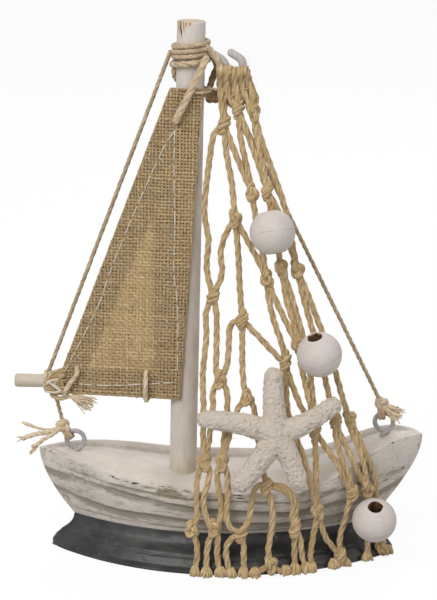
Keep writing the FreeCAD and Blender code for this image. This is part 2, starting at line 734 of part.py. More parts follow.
def make_head_tie():
    """A short cord that holds the sail's head to the mast, knotted behind it."""
    thickness = val("stay_diameter")
    front = sail_back() + 2 * val("cloth_thickness") + thickness / 2 + val("lie_gap")
    round_mast = val("mast_diameter") / 2 + thickness / 2 + val("lie_gap")
    up = sail_height() - thickness
    corner = val("sail_head_reach") + thickness / 2 + val("lie_gap")
    edge = corner + thickness / 4
    behind = -round_mast - thickness / 3
    path = [
        sail_point(0.0, front, up),
        sail_point(edge, front, up),
        sail_point(edge, -round_mast * 0.8, up),
        sail_point(0.0, behind, up),
    ]
    knot = Part.makeSphere(thickness, path[-1] + Vector(thickness, thickness, 0) * 0.6)
    cord("head_tie", path, thickness, [knot])


# Screw eyes, hook and stays

def eye_centre(name):
    side = 1 if name == "bow" else -1
    x = hull_tip(side) - side * val(f"{name}_eye_inset")
    return Vector(x, 0, deck_height(x) + val(f"{name}_eye_lift"))


def eye_shank(name, clearance=0.0):
    """The part of a screw eye that goes down into the deck, or its hole."""
    top = eye_centre(name) - Z_AXIS * val("eye_diameter") / 2
    length = top.z - deck_height(top.x) + val("eye_shank")
    return Part.makeCylinder(val("eye_wire") / 2 + clearance, length, top, -Z_AXIS)


def make_eye(name):
    """A ring of wire on a shank, fused from two primitives bound to the sheet."""
    centre = eye_centre(name)
    ring = doc.addObject("Part::Torus", f"{name}_ring")
    ring.setExpression("Radius1", cell("@eye_diameter / 2"))
    ring.setExpression("Radius2", cell("@eye_wire / 2"))
    ring.Placement = FreeCAD.Placement(centre, FreeCAD.Rotation(X_AXIS, 90))
    shank = doc.addObject("Part::Cylinder", f"{name}_shank")
    shank.setExpression("Radius", cell("@eye_wire / 2"))
    length = val("eye_shank") + val(f"{name}_eye_lift")
    shank.setExpression("Height", cell(f"@eye_shank + @{name}_eye_lift - @eye_diameter / 2"))
    foot = centre - Z_AXIS * length
    shank.Placement = FreeCAD.Placement(foot, FreeCAD.Rotation())
    eye = doc.addObject("Part::Fuse", f"{name}_eye")
    eye.Base = ring
    eye.Tool = shank
    doc.recompute()
    return keep(eye, f"{name}_eye")


def stay_loop(name, angle):
    """A small loop through a screw eye, with its knot outside the ring."""
    outward = Vector(math.cos(math.radians(angle)), 0, math.sin(math.radians(angle)))
    thin = val("stay_diameter") / 2
    around = val("eye_wire") / 2 + thin + val("lie_gap")
    on_ring = eye_centre(name) + outward * (val("eye_diameter") / 2)
    along = Vector(-outward.z, 0, outward.x)
    loop = Part.makeTorus(around, thin, on_ring, along)
    knot_at = on_ring + outward * (around + val("stay_knot") / 3)
    return knot_at, loop, Part.makeSphere(val("stay_knot") / 2, knot_at)


def make_stays():
    """Backstay over the boom's end and forestay, each tied to its screw eye."""
    thin = val("stay_diameter")
    head = lashing_middle()
    beside = lashing_radius() + thin / 2 + val("lie_gap")
    tie_radius = val("boom_diameter") / 2 + val("seat_clearance") + thin
    tie = boom_tie_middle()
    over = tie + Z_AXIS * (tie_radius + val("lie_gap"))
    under = tie - Z_AXIS * (tie_radius + val("lie_gap"))
    cord("backstay", [head + Vector(-beside, 0, 0), over], thin)
    knot_at, loop, knot = stay_loop("stern", val("stern_loop_angle"))
    cord("backstay_end", [under, knot_at], thin, [loop, knot])
    knot_at, loop, knot = stay_loop("bow", val("bow_loop_angle"))
    aside = math.radians(val("forestay_aside"))
    start = head + Vector(beside * math.cos(aside), beside * math.sin(aside), 0)
    cord("forestay", [start, knot_at], thin, [loop, knot])


def hook_centre():
    """Centre of the hook's round part."""
    x = mast_x(hook_height()) + val("hook_reach")
    return Vector(x, 0, hook_height() - val("hook_drop"))


def towards(angle):
    """The direction at an angle in the hook's plane, degrees up from the bow."""
    turn = math.radians(angle)
    return Vector(math.cos(turn), 0, math.sin(turn))


def on_hook(angle, radius):
    return hook_centre() + towards(angle) * radius


def head_angle(share):
    """Where on the hook's round part a cord of the net hangs, degrees."""
    return val("net_head_start") + val("net_head_sweep") * share


def make_hook():
    """A cup hook: a shank into the mast, a round part, and a straight end bent back over it."""
    bend = val("hook_bend")
    drop = val("hook_drop")
    shank_end = mast_x(hook_height()) + val("mast_diameter") / 2 + val("hook_neck")
    run = hook_centre().x - shank_end
    small = (run * run + drop * drop - bend * bend) / (2 * (bend + drop))
    corner = Vector(shank_end, 0, hook_height() - small)
    to_round = (hook_centre() - corner).normalize()
    meet = corner + to_round * small
    start = math.degrees(math.atan2(-to_round.z, -to_round.x)) % 360
    half_way = math.atan2(1 + to_round.z, to_round.x) / 2 + math.pi / 4
    middle = corner + Vector(math.cos(half_way), 0, math.sin(half_way)) * small
    root = mast_x(hook_height()) + val("mast_diameter") / 2 - val("hook_tenon")
    end = val("hook_round_end")
    crook = val("hook_crook")
    crook_centre = on_hook(end, bend - crook)
    crook_end = val("hook_tip_way") - 90
    crook_half = (end - 360 + crook_end) / 2
    tip_start = crook_centre + towards(crook_end) * crook
    tip_end = tip_start + towards(val("hook_tip_way")) * val("hook_tip_run")
    edges = [
        Part.LineSegment(Vector(root, 0, hook_height()),
                         Vector(shank_end, 0, hook_height())).toShape(),
        Part.Arc(Vector(shank_end, 0, hook_height()), middle, meet).toShape(),
        Part.Arc(meet, on_hook((start + end) / 2, bend), on_hook(end, bend)).toShape(),
        Part.Arc(on_hook(end, bend), crook_centre + towards(crook_half) * crook,
                 tip_start).toShape(),
        Part.LineSegment(tip_start, tip_end).toShape(),
    ]
    section = Part.Wire(Part.makeCircle(val("hook_wire") / 2, edges[0].Vertexes[0].Point, X_AXIS))
    wire = Part.Wire(edges).makePipeShell([section], True, False)
    tip = Part.makeSphere(val("hook_wire") / 2, tip_end)
    hook = keep(doc.addObject("Part::Feature", "masthead_hook"), "masthead_hook")
    hook.Shape = wire.fuse(tip).removeSplitter()
    return hook


# Net

# Knots by their share along the net, 0 aft .. 1 fore, and down it: 0 at the hook,
# 1 at the gunwale and 2 at the foot of the base
KNOTS = {
    "a1": (0.16, 0.11), "b1": (0.51, 0.06), "c1": (0.78, 0.07),
    "a2": (0.31, 0.33), "b2": (0.56, 0.26), "c2": (0.76, 0.27),
    "a3": (0.07, 0.53), "b3": (0.59, 0.47), "c3": (0.74, 0.46), "d3": (0.87, 0.48),
    "a4": (0.33, 0.57), "b4": (0.64, 0.68), "c4": (0.75, 0.66),
    "a5": (0.14, 0.73), "b5": (0.33, 0.77), "c5": (0.74, 0.87), "d5": (0.87, 0.88),
    "e5": (0.95, 0.89),
    "a6": (0.05, 0.93), "b6": (0.16, 0.93), "c6": (0.41, 0.97),
    "d6": (0.87, 1.27), "e6": (0.95, 1.33),
    "a7": (-0.03, 1.49), "b7": (0.10, 1.45), "c7": (0.25, 1.53), "d7": (0.54, 1.47),
    "e7": (0.68, 1.32), "f7": (0.99, 1.90),
    "c8": (0.39, 1.90), "d8": (0.75, 1.90),
}

# Cords from knot to knot; a number is a place on the hook or at the foot
LINKS = [
    ("head", 0.0, "a1"), ("head", 0.35, "b1"), ("head", 0.70, "c1"), ("head", 1.0, "c1"),
    ("a1", "a3"), ("a1", "a2"), ("a1", "b2"), ("b1", "b2"), ("b1", "c2"), ("c1", "c2"),
    ("c1", "d3"), ("a2", "a3"), ("a2", "a4"), ("a2", "b3"), ("b2", "b3"), ("c2", "c3"),
    ("c2", "d3"), ("a3", "a6"), ("a3", "a5"), ("a4", "a5"), ("a4", "b5"), ("a4", "b4"),
    ("b3", "b4"), ("b3", "c4"), ("c3", "c4"), ("d3", "d5"), ("c3", "c5"), ("c4", "c5"),
    ("d3", "e5"), ("b4", "c6"), ("b4", "c5"), ("a5", "a6"), ("a5", "b6"), ("b5", "b6"),
    ("b5", "c6"), ("a6", "a7"), ("a6", "b7"), ("b6", "b7"), ("b6", "c7"), ("c6", "c7"),
    ("c6", "c8"), ("c6", "d7"), ("c5", "e7"), ("c5", "d6"), ("d5", "d6"), ("e5", "e6"),
    ("e6", "f7"), ("d7", "d8"), ("e7", "d8"), ("d6", "d8"),
    ("foot", "a7", -0.01), ("foot", "b7", 0.06), ("foot", "b7", 0.11), ("foot", "c7", 0.16),
    ("foot", "c7", 0.24), ("foot", "c8", 0.33), ("foot", "c8", 0.44), ("foot", "d7", 0.51),
    ("foot", "d7", 0.58), ("foot", "d8", 0.70), ("foot", "d8", 0.80), ("foot", "f7", 1.0),
    ("foot", "e6", 0.90),
]


def net_head(share):
    """Where a cord of the net hangs on the hook."""
    return on_hook(head_angle(share), val("hook_bend") + val("net_head_drop"))


def net_rail(share):
    """Where the net passes outside the gunwale."""
    aft = val("mast_foot_x") + val("net_rail_aft")
    fore = hull_tip(1) - val("net_rail_fore")
    x = aft + share * (fore - aft)
    out = val("cord_diameter") / 2 + val("net_gap")
    return Vector(x, -gunwale_half_at(x) - out, sheer(x) + out)


def net_foot(share):
    """Where the net ends, outside the base's foot."""
    aft = val("mast_foot_x") + val("net_foot_aft")
    fore = val("base_centre") + val("base_length") / 2 - val("net_foot_fore")
    x = aft + share * (fore - aft)
    out = val("cord_diameter") / 2 + val("net_gap")
    return Vector(x, -base_half_at(x) - out, val("net_foot_z"))


def net_point(share, down):
    """The net's surface: straight from the hook to the gunwale, then down to the foot."""
    if down <= 1:
        return net_head(share) + (net_rail(share) - net_head(share)) * down
    return net_rail(share) + (net_foot(share) - net_rail(share)) * (down - 1)


def net_normal(share, down):
    """The direction out of the net, to the decorated side."""
    step = 0.02
    along = net_point(share + step, down) - net_point(share - step, down)
    fall = net_point(share, down) - net_point(share, down - step)
    return along.cross(fall).normalize() * -1


def link(start, end):
    """One cord of the net: it ends inside its knots, and bends outside the gunwale."""
    points = [net_point(*start), net_point(*end)]
    if start[1] < 1 < end[1]:
        share = start[0] + (end[0] - start[0]) * (1 - start[1]) / (end[1] - start[1])
        points.insert(1, net_rail(share))
    inside = val("knot_length") / 6
    if start[1] > 0:
        points[0] += (points[1] - points[0]).normalize() * inside
    if end[1] < 2:
        points[-1] += (points[-2] - points[-1]).normalize() * inside
    return tube(points, val("cord_diameter") / 2)


def knot(place):
    """A knot as a barrel of two short cones along the fall of the net."""
    share, down = place
    middle = net_point(share, down)
    fall = (net_point(share, down + 0.02) - net_point(share, down - 0.02)).normalize()
    half = val("knot_length") / 2
    wide = val("knot_diameter") / 2
    narrow = wide * 0.62
    upper = Part.makeCone(wide, narrow, half, middle, fall * -1)
    lower = Part.makeCone(wide, narrow, half, middle, fall)
    return upper.fuse(lower)


def make_net():
    """The knotted net: every cord runs from knot to knot and is fused there."""
    solids = []
    for entry in LINKS:
        if entry[0] == "head":
            solids.append(link((entry[1], 0.0), KNOTS[entry[2]]))
        elif entry[0] == "foot":
            solids.append(link(KNOTS[entry[1]], (entry[2], 2.0)))
        else:
            solids.append(link(KNOTS[entry[0]], KNOTS[entry[1]]))
    solids += [knot(place) for place in KNOTS.values()]
    solids += [head_loop(share) for share in (0.0, 0.35, 0.70, 1.0)]
    whole = solids[0].multiFuse(solids[1:])
    net = keep(doc.addObject("Part::Feature", "net"), "net")
    net.Shape = whole.Solids[0] if len(whole.Solids) == 1 else whole
    return net


def head_loop(share):
    """A loop of net cord round the hook's wire."""
    angle = head_angle(share)
    thin = val("cord_diameter") / 2
    around = val("hook_wire") / 2 + thin + val("lie_gap")
    return Part.makeTorus(around, thin, on_hook(angle, val("hook_bend")), towards(angle + 90))


# Beads and starfish

def bead_centre(start, end, along, aside):
    """A bead's centre: out from a point on a cord of the net, and off to its fore side."""
    first = net_point(*start)
    on_cord = first + (net_point(*end) - first) * along
    share = start[0] + (end[0] - start[0]) * along
    down = start[1] + (end[1] - start[1]) * along
    out = net_normal(share, down)
    fore = (X_AXIS - out * X_AXIS.dot(out)).normalize()
    reach = val("bead_diameter") / 2 + val("cord_diameter") / 2 + val("lie_gap")
    return on_cord + fore * aside + out * math.sqrt(reach * reach - aside * aside)


def make_bead(label, start, end, along, aside, tilt, roll):
    """A bored ball, revolved about its hole, with bevelled mouths."""
    bead = new_body(label)
    half = val("bead_diameter") / 2
    bore = val("bead_bore") / 2
    bevel = val("bead_bevel")
    flat = math.sqrt(half * half - (bore + bevel) ** 2)
    outline = new_sketch(bead, label + "Profile", role="XZ_Plane")
    ball = outline.addGeometry(Part.ArcOfCircle(
        Part.Circle(Vector(0, 0, 0), Z_AXIS, half),
        math.atan2(-flat, bore + bevel), math.atan2(flat, bore + bevel)))
    top = outline.addGeometry(Part.LineSegment(
        Vector(bore + bevel, flat, 0), Vector(bore, flat - bevel, 0)))
    wall = outline.addGeometry(Part.LineSegment(
        Vector(bore, flat - bevel, 0), Vector(bore, bevel - flat, 0)))
    low = outline.addGeometry(Part.LineSegment(
        Vector(bore, bevel - flat, 0), Vector(bore + bevel, -flat, 0)))
    for first, second in (((ball, 2), (top, 1)), ((top, 2), (wall, 1)),
                          ((wall, 2), (low, 1)), ((low, 2), (ball, 1))):
        outline.addConstraint(Sketcher.Constraint("Coincident", *first, *second))
    outline.addConstraint(Sketcher.Constraint("Coincident", ball, 3, -1, 1))
    outline.addConstraint(Sketcher.Constraint("Vertical", wall))
    constrain(outline, "@bead_diameter / 2", "Radius", ball, half)
    constrain(outline, "@bead_bore / 2", "DistanceX", -1, 1, wall, 1, bore)
    constrain(outline, "@bead_bevel", "DistanceX", top, 2, top, 1, bevel)
    constrain(outline, "@bead_bevel", "DistanceY", top, 2, top, 1, bevel)
    constrain(outline, "@bead_bevel", "DistanceX", low, 1, low, 2, bevel)
    constrain(outline, "@bead_bevel", "DistanceY", low, 2, low, 1, bevel)
    turned = bead.newObject("PartDesign::Revolution", label + "Ball")
    turned.Profile = outline
    turned.ReferenceAxis = (outline, ["V_Axis"])
    turned.Angle = 360
    doc.recompute()
    turn = FreeCAD.Rotation(Y_AXIS, roll) * FreeCAD.Rotation(X_AXIS, tilt)
    centre = bead_centre(start, end, along, aside)
    bead.Placement = FreeCAD.Placement(centre, turn)
    return bead


# Arms of the starfish: reach as a share of the upper arm's, and direction on the net,
# degrees up from the bow
STAR_ARMS = [(1.0, 94.0), (1.02, 26.0), (0.92, -67.0), (1.03, -122.0), (1.1, 170.0)]
STAR_PLACE = (0.50, 0.85)  # its middle, as a knot's place


def star_arm(reach):
    """A round arm along X from the star's middle, drawn in to a round tip."""
    root = val("star_arm_root") / 2
    tip = val("star_arm_tip") / 2
    end = reach - tip
    taper = math.asin((root - tip) / end)
    shoulder = Vector(end + tip * math.sin(taper), tip * math.cos(taper), 0)
    crown_turn = (math.pi / 2 - taper) / 2
    crown = Vector(end + tip * math.cos(crown_turn), tip * math.sin(crown_turn), 0)
    start = Vector(0, root / math.cos(taper), 0)
    edges = [
        Part.LineSegment(Vector(0, 0, 0), start).toShape(),
        Part.LineSegment(start, shoulder).toShape(),
        Part.Arc(shoulder, crown, Vector(reach, 0, 0)).toShape(),
        Part.LineSegment(Vector(reach, 0, 0), Vector(0, 0, 0)).toShape(),
    ]
    return Part.Face(Part.Wire(edges)).revolve(Vector(0, 0, 0), X_AXIS, 360)


def turned(shape, x_way, y_way, place):
    """The shape with its own X and Y axes laid along two ways at a place."""
    frame = FreeCAD.Rotation(x_way, y_way, x_way.cross(y_way), "XYZ")
    return shape.transformed(FreeCAD.Placement(place, frame).toMatrix(), True)


def make_star():
    """Five round tapered arms on a round middle, lying flat on the net."""
    out = net_normal(*STAR_PLACE)
    lift = val("star_hub") / 2 + val("cord_diameter") / 2 + val("lie_gap")
    middle = net_point(*STAR_PLACE) + out * lift
    fore = (X_AXIS - out * X_AXIS.dot(out)).normalize()
    up = fore.cross(out)
    up = up if up.z > 0 else up * -1
    arms = []
    for reach, angle in STAR_ARMS:
        turn = math.radians(angle)
        way = fore * math.cos(turn) + up * math.sin(turn)
        arms.append(turned(star_arm(reach * val("star_reach")), way, out, middle))
    hub = turned(Part.makeSphere(val("star_hub") / 2), fore, out.cross(fore), middle)
    star = keep(doc.addObject("Part::Feature", "starfish"), "starfish")
    whole = hub
    for arm in arms:
        whole = whole.fuse(arm)
    star.Shape = whole.removeSplitter()
    return star


def check_and_write():
    """Stops on any failed object, then writes one STEP file for each sub-part."""
    doc.recompute()
    for thing in doc.Objects:
        if "Invalid" in thing.State or "Error" in thing.State:
            raise RuntimeError(f"{thing.Label} failed: {thing.State}")
    os.makedirs("parts", exist_ok=True)
    for thing in sub_parts:
        shape = thing.Shape
        if shape.isNull() or not shape.isValid():
            raise RuntimeError(f"{thing.Label} has no valid shape")
        shape.exportStep(os.path.join("parts", thing.Label + ".step"))
        print(f"{thing.Label}: {len(shape.Solids)} solid, {shape.Volume:.0f} cubic mm")


make_base()
make_hull()
make_mast()
make_boom()
make_sail()
make_lashings()
make_cord_loops()
make_head_tie()
make_eye("stern")
make_eye("bow")
make_stays()
make_hook()
make_net()
make_bead("bead_upper", KNOTS["c2"], KNOTS["c3"], 0.51, -2.1, -16, -11)
make_bead("bead_middle", KNOTS["d3"], KNOTS["d5"], 0.54, -2.0, 15, -14)
make_bead("bead_lower", KNOTS["e6"], (0.90, 2.0), 0.27, -3.5, 28, 1)
make_star()
check_and_write()
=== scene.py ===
import math

import bpy
import numpy as np
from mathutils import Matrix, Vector


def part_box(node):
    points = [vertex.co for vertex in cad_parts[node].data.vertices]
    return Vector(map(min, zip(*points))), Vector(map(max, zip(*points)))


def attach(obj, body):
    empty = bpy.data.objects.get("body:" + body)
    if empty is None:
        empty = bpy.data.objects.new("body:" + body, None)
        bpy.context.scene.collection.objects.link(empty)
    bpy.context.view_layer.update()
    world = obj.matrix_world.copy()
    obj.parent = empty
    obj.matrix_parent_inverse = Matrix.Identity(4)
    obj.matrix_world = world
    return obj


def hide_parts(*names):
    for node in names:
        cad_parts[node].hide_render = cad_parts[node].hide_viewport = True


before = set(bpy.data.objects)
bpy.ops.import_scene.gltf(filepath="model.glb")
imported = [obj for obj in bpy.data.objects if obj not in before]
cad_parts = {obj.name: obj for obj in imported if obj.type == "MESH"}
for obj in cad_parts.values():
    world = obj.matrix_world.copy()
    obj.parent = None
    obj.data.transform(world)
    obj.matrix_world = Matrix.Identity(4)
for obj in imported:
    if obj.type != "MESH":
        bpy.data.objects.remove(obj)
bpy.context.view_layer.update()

# A decorative wooden sailing dinghy on its own base: the painted wood, the burlap sail, the
# knotted cord net with its beads and starfish, the stays and the studio round it.
# Millimetres in the shapes; a mesh is turned into metres when it is made.

bl_info = {
    "name": "Model sailing dinghy",
    "version": (1, 0, 0),
    "blender": (4, 5, 0),
    "location": "View3D > Sidebar > Dinghy",
    "description": "Builds a small wooden sailing dinghy with a burlap sail and a cord net",
    "category": "Add Mesh",
}

MM = 0.001
TO_FRONT = np.array([0.0, -1.0, 0.0])

# Camera

FRAME_SIZE = (437, 600)
CAMERA_PLACE = np.array([41.87, -798.9, 345.0])
CAMERA_AIM = np.array([0.0, 0.0, 120.0])
LENS_PIXELS = 1846.8


def joined(*parts):
    """Coordinates of any matching shapes as points."""
    return np.stack(np.broadcast_arrays(*parts), -1)


def unit(vectors):
    """Each vector divided by its own length."""
    return vectors / np.maximum(np.linalg.norm(vectors, axis=-1, keepdims=True), 1e-12)


def camera_axes():
    """Right, up and forward of the camera, as rows."""
    forward = unit(CAMERA_AIM - CAMERA_PLACE)
    right = unit(np.cross(forward, [0.0, 0.0, 1.0]))
    return np.array([right, np.cross(right, forward), forward])


def to_pixels(points):
    """Where the camera sees points: the lens times right and up over the depth."""
    seen = (np.asarray(points) - CAMERA_PLACE) @ camera_axes().T
    across = FRAME_SIZE[0] / 2 + LENS_PIXELS * seen[..., 0] / seen[..., 2]
    down = FRAME_SIZE[1] / 2 - LENS_PIXELS * seen[..., 1] / seen[..., 2]
    return joined(across, down)


def on_plane(pixels, point, normal):
    """Where the camera's rays through pixels meet a plane."""
    pixels = np.atleast_2d(np.asarray(pixels, float))
    across = (pixels[:, 0] - FRAME_SIZE[0] / 2) / LENS_PIXELS
    up = (FRAME_SIZE[1] / 2 - pixels[:, 1]) / LENS_PIXELS
    rays = joined(across, up, 1) @ camera_axes()
    far = (np.asarray(point, float) - CAMERA_PLACE) @ normal / (rays @ normal)
    return CAMERA_PLACE + rays * far[:, None]


def at_depth(pixels, y):
    """Where the camera's rays through pixels meet the upright plane at y."""
    return on_plane(pixels, (0.0, y, 0.0), np.array([0.0, 1.0, 0.0]))


# Numbers that look random

def noise(points, size, seed=0):
    """Value noise, -1 to 1: the hashed corners of a cell, mixed by a smooth step."""
    place = np.asarray(points, float) / size
    cell = np.floor(place).astype(np.int64)
    share = place - cell
    share = share * share * (3 - 2 * share)
    total = np.zeros(place.shape[:-1])
    for corner in range(8):
        bits = np.array([corner & 1, corner >> 1 & 1, corner >> 2 & 1])
        lattice = cell + bits
        code = (lattice[..., 0] * 73856093 ^ lattice[..., 1] * 19349663
                ^ lattice[..., 2] * 83492791 ^ (seed * 26544357 + 1013))
        code = code & 0x7FFFFFFF
        code = (code ^ code >> 13) * 1274126177 & 0x7FFFFFFF
        code = (code ^ code >> 15) * 83492791 & 0x7FFFFFFF
        value = (code >> 8 & 0xFFFF) / 32767.5 - 1
        total += value * np.prod(np.where(bits, share, 1 - share), axis=-1)
    return total


def smooth(low, high, value):
    """0 below low, 1 above high, and 3t^2 - 2t^3 between."""
    share = np.clip((value - low) / (high - low), 0, 1)
    return share * share * (3 - 2 * share)


# Shapes

class Shape:
    """Points, faces and named values of one piece, gathered part by part."""

    def __init__(self, *values):
        self.points = []
        self.quads = []
        self.triangles = []
        self.values = {name: [] for name in values}
        self.count = 0

    def add(self, points, quads, triangles=None, **values):
        """Takes in points, faces that count from the first of them, and their values."""
        points = np.asarray(points, float).reshape(-1, 3)
        self.points.append(points)
        self.quads.append(np.asarray(quads, np.int64).reshape(-1, 4) + self.count)
        if triangles is not None and len(triangles):
            self.triangles.append(np.asarray(triangles, np.int64).reshape(-1, 3) + self.count)
        for name, kept in self.values.items():
            value = np.asarray(values.get(name, 0.0), float)
            wide = 3 if name == "grain" else 1
            if value.size in (1, 3) and value.size != wide * len(points):
                value = np.broadcast_to(value.reshape(1, -1), (len(points), wide))
            kept.append(value.reshape(len(points), wide))
        self.count += len(points)

    def make(self, name, material, slot, replaces=(), weld=False):
        """The mesh object: metres, smooth faces, values as attributes of the points."""
        points = np.concatenate(self.points) * MM
        points[:, 2] = np.maximum(points[:, 2], 0.0)
        quads = np.concatenate(self.quads)
        triangles = (np.concatenate(self.triangles) if self.triangles
                     else np.zeros((0, 3), np.int64))
        values = {key: np.concatenate(kept) for key, kept in self.values.items()}
        if weld:
            points, quads, triangles, values = welded(points, quads, triangles, values)
        mesh = bpy.data.meshes.new(name)
        mesh.vertices.add(len(points))
        mesh.vertices.foreach_set("co", points.astype(np.float32).ravel())
        corners = np.concatenate([quads.ravel(), triangles.ravel()])
        mesh.loops.add(len(corners))
        mesh.loops.foreach_set("vertex_index", corners.astype(np.int32))
        starts = np.concatenate([np.arange(len(quads)) * 4,
                                 len(quads) * 4 + np.arange(len(triangles)) * 3])
        mesh.polygons.add(len(starts))
        mesh.polygons.foreach_set("loop_start", starts.astype(np.int32))
        mesh.polygons.foreach_set("use_smooth", np.full(len(starts), True))
        for key, value in values.items():
            kind = "FLOAT_VECTOR" if key == "grain" else "FLOAT"
            held = mesh.attributes.new(key, kind, "POINT")
            field = "vector" if key == "grain" else "value"
            held.data.foreach_set(field, value.astype(np.float32).ravel())
        mesh.update(calc_edges=True)
        if mesh.validate():
            raise RuntimeError(f"{name} has faces that aren't sound")
        return placed(name, mesh, material, replaces)


def cord_shape():
    """A shape whose points know their place along a strand, its shade and its number."""
    return Shape("grain", "tint", "part")


def linked(name, data):
    """A new object of the scene, at the origin."""
    thing = bpy.data.objects.new(name, data)
    bpy.context.scene.collection.objects.link(thing)
    return thing


def placed(name, mesh, material, replaces):
    """A finished piece: its object and material, and the nodes that it stands for."""
    thing = linked(name, mesh)
    mesh.materials.append(material)
    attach(thing, "root")
    if replaces:
        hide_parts(*replaces)
    return thing


def held_by(mesh, field):
    """The places or normals of a mesh's vertices, one row for each."""
    values = np.empty(len(mesh.vertices) * 3)
    mesh.vertices.foreach_get(field, values)
    return values.reshape(-1, 3)


def welded(points, quads, triangles, values):
    """Joins points that are closer than a thousandth of a millimetre, and drops spent faces."""
    keys = np.round(points * 1e6).astype(np.int64)
    _, first, back = np.unique(keys, axis=0, return_index=True, return_inverse=True)
    back = back.ravel()
    quads = back[quads]
    triangles = back[triangles]
    spent = quads == np.roll(quads, -1, axis=1)
    broken = spent.sum(1) == 1
    where = np.argmax(spent[broken], axis=1)
    keep = np.array([[1, 2, 3], [0, 2, 3], [0, 1, 3], [0, 1, 2]])[where]
    turned = np.take_along_axis(quads[broken], keep, axis=1)
    quads = quads[spent.sum(1) == 0]
    triangles = np.concatenate([triangles, turned])
    flat = ((triangles[:, 0] == triangles[:, 1]) | (triangles[:, 1] == triangles[:, 2])
            | (triangles[:, 2] == triangles[:, 0]))
    values = {name: value[first] for name, value in values.items()}
    return points[first], quads, triangles[~flat], values


def grid_quads(rows, columns, closed=False):
    """Faces of a grid, row by row; closed joins the last column to the first."""
    row, column = np.meshgrid(np.arange(rows - 1), np.arange(columns - (not closed)),
                              indexing="ij")
    after = (column + 1) % columns
    corners = [row * columns + column, row * columns + after,
               (row + 1) * columns + after, (row + 1) * columns + column]
    return np.stack(corners, -1).reshape(-1, 4)


def lengths(line):
    """How far along the line each point is."""
    return np.concatenate([[0], np.cumsum(np.linalg.norm(np.diff(line, axis=0), axis=1))])


def resampled(line, step):
    """The same line with its points an equal step apart."""
    line = np.asarray(line, float)
    gone = lengths(line)
    count = max(int(round(gone[-1] / step)), 2)
    at = np.linspace(0, gone[-1], count + 1)
    return np.stack([np.interp(at, gone, line[:, k]) for k in range(line.shape[1])], -1)


def curve(points, step):
    """A smooth line through points: Catmull-Rom cubics, sampled at equal steps."""
    points = np.asarray(points, float)
    if len(points) == 2:
        return resampled(points, step)
    held = np.concatenate([2 * points[:1] - points[1:2], points, 2 * points[-1:] - points[-2:-1]])
    a, b, c, d = held[:-3, None], held[1:-2, None], held[2:-1, None], held[3:, None]
    t = np.linspace(0, 1, 24, endpoint=False)[None, :, None]
    line = 0.5 * (2 * b + (c - a) * t + (2 * a - 5 * b + 4 * c - d) * t ** 2
                  + (3 * b - a - 3 * c + d) * t ** 3)
    return resampled(np.concatenate([line.reshape(-1, points.shape[1]), points[-1:]]), step)


def line_axes(line, hint=None):
    """Tangent and two normals at each point; the first normal leans to the hint."""
    tangent = unit(np.gradient(line, axis=0))
    if hint is None:
        hint = np.linalg.svd(line - line.mean(0), full_matrices=False)[2][2]
    side = unit(hint - (hint * tangent).sum(-1, keepdims=True) * tangent)
    return tangent, side, np.cross(tangent, side)


def add_rings(shape, body, poles, grain, **values):
    """Rings of points, each joined to the next, with a fan to a pole at either end."""
    count, sides = body.shape[:2]
    wheel = np.arange(sides)
    ahead = (wheel + 1) % sides
    first = np.stack([np.full(sides, count * sides), ahead, wheel], -1)
    last = np.stack([np.full(sides, count * sides + 1), (count - 1) * sides + wheel,
                     (count - 1) * sides + ahead], -1)
    grain = np.concatenate([grain.reshape(-1, 3), [[0, 0, 0], [0, 0, grain[-1, 0, 2]]]])
    shape.add(np.concatenate([body.reshape(-1, 3), poles]), grid_quads(count, sides, True),
              np.concatenate([first, last]), grain=grain, **values)


def tube(shape, line, radius, sides, hint=None, flat=1.0, **values):
    """A tube: radius times cosine and sine of the angle on the line's normals, ends closed."""
    tangent, side, other = line_axes(line, hint)
    count = len(line)
    values = {name: np.concatenate([np.repeat(value, sides), [value[0], value[-1]]])
              if np.size(value) == count else value for name, value in values.items()}
    radius = np.broadcast_to(np.asarray(radius, float), (count,))
    angle = np.linspace(0, 2 * np.pi, sides, endpoint=False)
    cosine, sine = np.cos(angle)[None, :, None], np.sin(angle)[None, :, None]
    ring = radius[:, None, None]
    body = line[:, None] + ring * (cosine * flat * side[:, None] + sine * other[:, None])
    poles = [line[0] - tangent[0] * radius[0] * 0.5, line[-1] + tangent[-1] * radius[-1] * 0.5]
    gone = lengths(line)[:, None]
    grain = joined((ring * cosine)[..., 0], (ring * sine)[..., 0], gone)
    add_rings(shape, body, poles, grain, **values)


def rope(shape, line, diameter, lay=16.0, seed=0, hint=None, sides=6, strands=3, thick=0.285,
         off=0.22, wander=0.06):
    """Strands wound round a line: each is off the line by a share of the diameter, at an
    angle that grows by a full turn in each lay."""
    gone = lengths(line)[:, None]
    _, side, other = line_axes(line, hint)
    draw = np.random.default_rng(seed)
    start = draw.uniform(0, 1)
    for strand in range(strands):
        spot = joined(gone[:, 0], seed, strand * 7)
        shift = noise(spot, 9.0, seed)[:, None]
        angle = 2 * np.pi * (gone / lay + strand / strands + start + 0.07 * shift)
        away = np.cos(angle) * side + np.sin(angle) * other
        swell = 1 + wander * noise(spot, 3.0, seed)
        centre = line + away * off * diameter
        tube(shape, centre, thick * diameter * swell, sides, away,
             tint=draw.uniform(0, 1), part=draw.uniform(0, 50))


